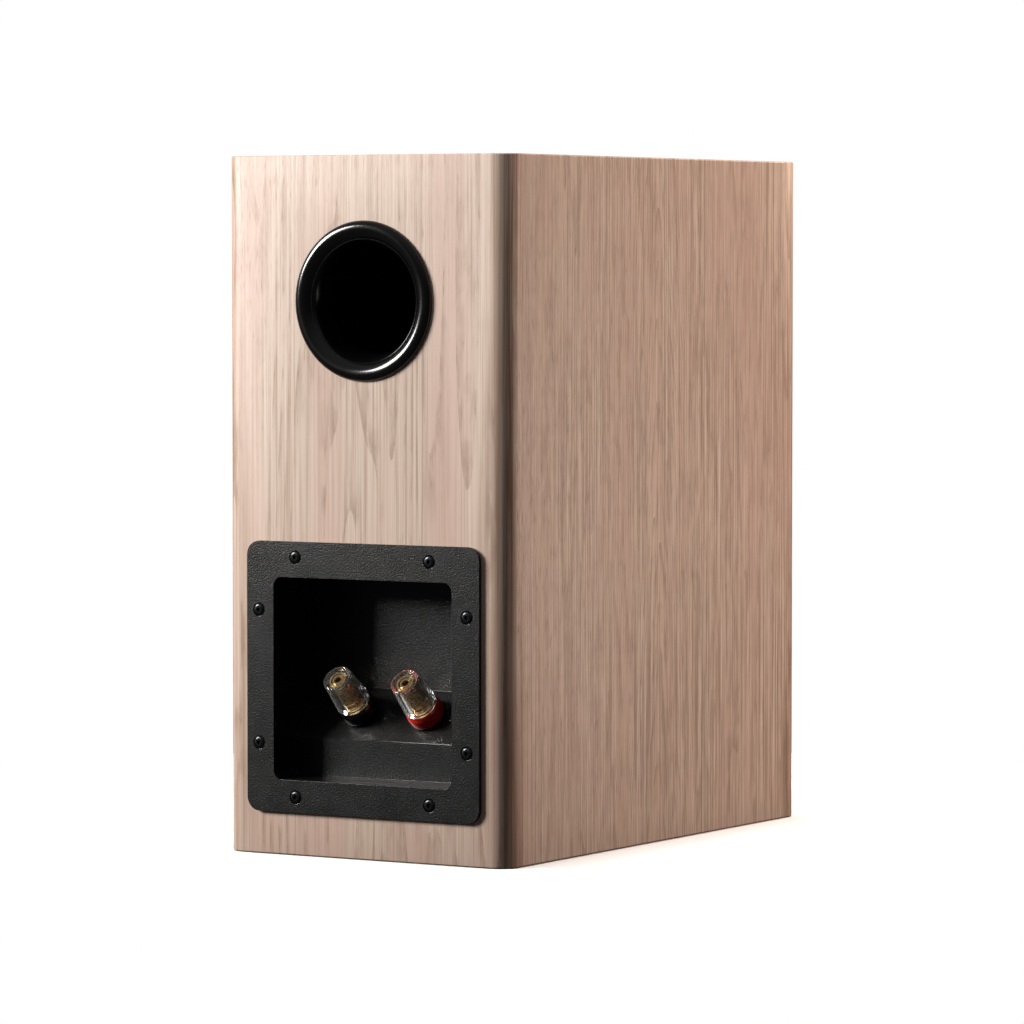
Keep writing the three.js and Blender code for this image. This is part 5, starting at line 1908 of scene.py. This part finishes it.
@dataclass
class Crossover:
    """The filter board on its feet, with coils, capacitors, a resistor and four leads."""

    bench: Bench
    coil_bores: tuple[tuple[str, float], ...] = (("woofer_filter_coil", 14.0), ("tweeter_filter_coil", 8.0))
    cans: tuple[str, ...] = ("woofer_capacitor", "tweeter_capacitor")
    wire: float = 1.4
    lead_radius: float = 1.7

    def build(self) -> None:
        """Builds the board's parts and the leads."""
        board = bpy.data.objects["crossover_board"]
        for place in board.material_slots:
            place.material = PHENOLIC_BOARD.material()
        LOG.info("dressed %s", board.name)
        for node, bore in self.coil_bores:
            self.wound_coil(node, bore)
        for node in self.cans:
            self.capacitor(node)
        low, high = (Vector(corner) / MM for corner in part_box("tweeter_resistor"))
        block = slab(
            "resistor",
            [(low.x, low.y), (high.x, low.y), (high.x, high.y), (low.x, high.y)],
            low.z,
            high.z,
            Axis.Z,
        )
        self.bench.fit("tweeter_resistor_cement", block, CEMENT, replaces="tweeter_resistor", rounding=0.8)
        self.leads()

    def wound_coil(self, node: str, bore: float) -> None:
        """Air-core coil: rows of round wire seen on its outside and its end."""
        low, high = (Vector(corner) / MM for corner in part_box(node))
        outer = (high.x - low.x) / 2
        half = self.wire / 2
        rows = int((high.z - low.z) / self.wire)
        rings = int((outer - bore) / self.wire)
        profile = []
        for row in range(rows):
            profile += arc((outer - half, half + row * self.wire), half, half, -80, 80, 6)
        top = rows * self.wire
        for number in range(rings):
            profile += arc(
                (outer - half - number * self.wire, top - half), half, half, 80 if number else 85, 100, 2
            )
        profile += [(bore, top - half), (bore, half)]
        mesh = turned(node, profile, 72, 60)
        place = at((low.x + high.x) / 2, (low.y + high.y) / 2, low.z) @ Matrix.Rotation(math.pi / 2, 4, "X")
        self.bench.fit(node + "_wound", mesh, COPPER_WIRE, place=place, replaces=node)

    def capacitor(self, node: str) -> None:
        """Film capacitor with rounded, resin-filled ends, lying along X."""
        low, high = (Vector(corner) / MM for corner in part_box(node))
        radius, half = (high.z - low.z) / 2, (high.x - low.x) / 2
        profile = [
            (0, -half + 0.8), (radius - 1.4, -half + 0.8), *arc((radius - 1, -half + 1), 1, 1, -90, 0, 6)
        ]
        profile += [
            *arc((radius - 1, half - 1), 1, 1, 0, 90, 6), (radius - 1.4, half - 0.8), (0, half - 0.8)
        ]
        middle = centre_of(node) / MM
        place = at(*middle) @ Matrix.Rotation(math.pi / 2, 4, "Z")
        self.bench.fit(
            node + "_wrapped", turned(node, profile, 72), YELLOW_FILM, place=place, replaces=node
        )

    def leads(self) -> None:
        """Runs each lead from the board to its driver or post, clear of the brace."""
        low, high = (Vector(corner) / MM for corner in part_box("crossover_board"))
        pad = high.z + 0.6 + self.lead_radius
        magnet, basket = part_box("woofer_magnet"), centre_of("woofer_basket") / MM
        brace_low, brace_high = (Vector(corner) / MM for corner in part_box("window_brace"))
        lead_low, lead_high = (Vector(corner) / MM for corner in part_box("woofer_lead"))
        tag = Vector((0, lead_low.y + self.lead_radius, lead_high.z - self.lead_radius))
        first = [
            (-8, low.y + 10, pad),
            (-8, low.y + 2, pad + 14),
            (-6, tag.y + 14, (pad + tag.z) / 2),
            (-2, tag.y + 8, tag.z - 16),
            (0, tag.y + 1, tag.z),
        ]
        self.lead("woofer_lead", first, BLACK_PVC)
        low_t, high_t = (Vector(corner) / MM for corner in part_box("tweeter_lead"))
        beside = high_t.x - self.lead_radius
        inner_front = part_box("front_baffle")[1][1] / MM
        middle_y = (low.y + high.y) / 2
        second = [
            (beside, middle_y, pad),
            (beside, middle_y + 4, pad + 24),
            (beside, inner_front + 84, basket.z - 40),
            (beside, inner_front + 84, basket.z + 30),
            (beside - 8, inner_front + 80, brace_low.z),
            (beside - 26, inner_front + 56, brace_high.z + 10),
            (8, low_t.y + 18, high_t.z - 4),
            (0, low_t.y + 2, high_t.z - 2),
        ]
        self.lead("tweeter_lead", second, RED_PVC)
        for pole, finish in ((Pole.RED, RED_PVC), (Pole.BLACK, BLACK_PVC)):
            foot, axis = self.bench.post_line(pole)
            start, turn = foot - axis * 17.4, foot - axis * 25
            points = [
                tuple(start),
                tuple(turn),
                (foot.x, high.y + 44, pad + 20),
                (foot.x * 0.6, high.y + 18, pad + 4),
                (foot.x * 0.6, high.y - 6, pad),
            ]
            self.lead(f"{pole.value}_input_lead", points, finish)

    def lead(self, node: str, points: list[Triple], finish: Finish) -> None:
        """Fits one round lead through points in millimetres."""
        run = tube(node + "_run", [Vector(point) * MM for point in points], self.lead_radius)
        self.bench.fit(node + "_insulated", run, finish, replaces=node)


# ---------------------------------------------------------------------------------------------
# Studio
# ---------------------------------------------------------------------------------------------


@dataclass
class Softbox:
    """One square area light aimed at a point; places in metres."""

    name: str
    place: Triple
    aim: Triple
    size: float
    power: float
    colour: str

    def build(self) -> None:
        """Adds the light to the scene."""
        lamp = bpy.data.lights.new(self.name, "AREA")
        lamp.shape = "SQUARE"
        lamp.size = self.size
        lamp.energy = self.power
        lamp.color = linear(self.colour)[:3]
        stand = bpy.data.objects.new(self.name, lamp)
        bpy.context.scene.collection.objects.link(stand)
        stand.location = self.place
        stand.rotation_euler = (Vector(self.aim) - Vector(self.place)).to_track_quat("-Z", "Y").to_euler()


@dataclass
class Studio:
    """A pale floor, a soft surround, three softboxes and the camera."""

    floor_radius: float = 0.60
    camera_place: Triple = (-1.8000, 2.9810, 0.3760)
    back_vector: tuple[float, float] = (-0.5183, 0.8552)
    look_down: float = 2.73
    lens: float = 187.5
    sky: str = "f4f4f4"
    sky_strength: Point = (0.05, 0.20)
    overhead: float = 3.6
    softboxes: tuple[Softbox, ...] = (
        Softbox("softbox_key", (1.42, 1.34, 0.88), (0.0, 0.19, 0.18), 0.7, 64.0, "fffcf9"),
        Softbox("softbox_side", (-1.28, -1.12, 0.18), (-0.1, -0.05, 0.12), 0.45, 13.5, "ffe2cf"),
        Softbox("softbox_far", (-0.36, -0.95, 0.70), (-0.1, -0.16, 0.22), 0.3, 5.5, "ffd8bc"),
    )

    def build(self) -> None:
        """Sets floor, surround, lights and camera."""
        self.floor()
        self.surround()
        for softbox in self.softboxes:
            softbox.build()
        self.camera()
        view = bpy.context.scene.view_settings
        view.view_transform = "Standard"
        view.look = "None"

    def floor(self) -> None:
        """Lays a round pale floor just under the cabinet."""
        work = bmesh.new()
        bmesh.ops.create_circle(work, cap_ends=True, segments=96, radius=self.floor_radius)
        mesh = bpy.data.meshes.new("studio_floor")
        work.to_mesh(mesh)
        work.free()
        floor = bpy.data.objects.new("studio_floor", mesh)
        bpy.context.scene.collection.objects.link(floor)
        floor.location.z = -0.0004
        floor.visible_diffuse = False
        floor.visible_glossy = False
        mesh.materials.append(FLOOR_PAPER.material())

    def surround(self) -> None:
        """Shows a white surround that itself gives only a little light, and adds the light from above."""
        world = bpy.data.worlds.new("studio_world")
        world.use_nodes = True
        tree = world.node_tree
        lit = tree.nodes["Background"]
        lit.inputs["Color"].default_value = linear(self.sky)
        height = add_node(
            tree, "ShaderNodeSeparateXYZ", {0: add_node(tree, "ShaderNodeTexCoord").outputs["Generated"]}
        )
        low, high = self.sky_strength
        levels = {
            "Value": height.outputs["Z"], "From Min": 0.2, "From Max": 0.75, "To Min": low, "To Max": high
        }
        tree.links.new(
            add_node(tree, "ShaderNodeMapRange", levels).outputs["Result"], lit.inputs["Strength"]
        )
        seen = add_node(tree, "ShaderNodeBackground", {"Color": linear("ffffff"), "Strength": 1.0})
        path = add_node(tree, "ShaderNodeLightPath")
        inputs = {0: path.outputs["Is Camera Ray"], 1: lit.outputs[0], 2: seen.outputs[0]}
        both = add_node(tree, "ShaderNodeMixShader", inputs)
        tree.links.new(both.outputs[0], tree.nodes["World Output"].inputs["Surface"])
        bpy.context.scene.world = world
        sun = bpy.data.lights.new("overhead", "SUN")
        sun.energy = self.overhead
        sun.angle = math.radians(14)
        stand = bpy.data.objects.new("overhead", sun)
        stand.visible_glossy = False
        bpy.context.scene.collection.objects.link(stand)

    def camera(self) -> None:
        """Places the camera level with the cabinet's upper half."""
        lens = bpy.data.cameras.new("studio_camera")
        lens.lens = self.lens
        lens.sensor_width = 36.0
        lens.clip_start = 0.05
        stand = bpy.data.objects.new("studio_camera", lens)
        bpy.context.scene.collection.objects.link(stand)
        tilt = math.radians(self.look_down)
        x, y = self.back_vector
        back = Vector((x * math.cos(tilt), y * math.cos(tilt), math.sin(tilt))).normalized()
        right = Vector((0, 0, 1)).cross(back).normalized()
        turn = Matrix((right, back.cross(right), back)).transposed().to_4x4()
        stand.matrix_world = Matrix.Translation(Vector(self.camera_place)) @ turn
        bpy.context.scene.camera = stand


def main() -> None:
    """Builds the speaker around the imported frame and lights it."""
    logging.basicConfig(level=logging.INFO, format="%(name)s: %(message)s")
    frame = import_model()
    bench = Bench(frame)
    Cabinet(bench).build()
    Port(bench).build()
    TerminalTray(bench).build()
    for pole in Pole:
        BindingPost(bench, pole).build()
    Woofer(bench).build()
    Tweeter(bench).build()
    Crossover(bench).build()
    Studio().build()
    LOG.info("%d pieces fitted", bench.fitted)


if __name__ == "__main__":
    main()
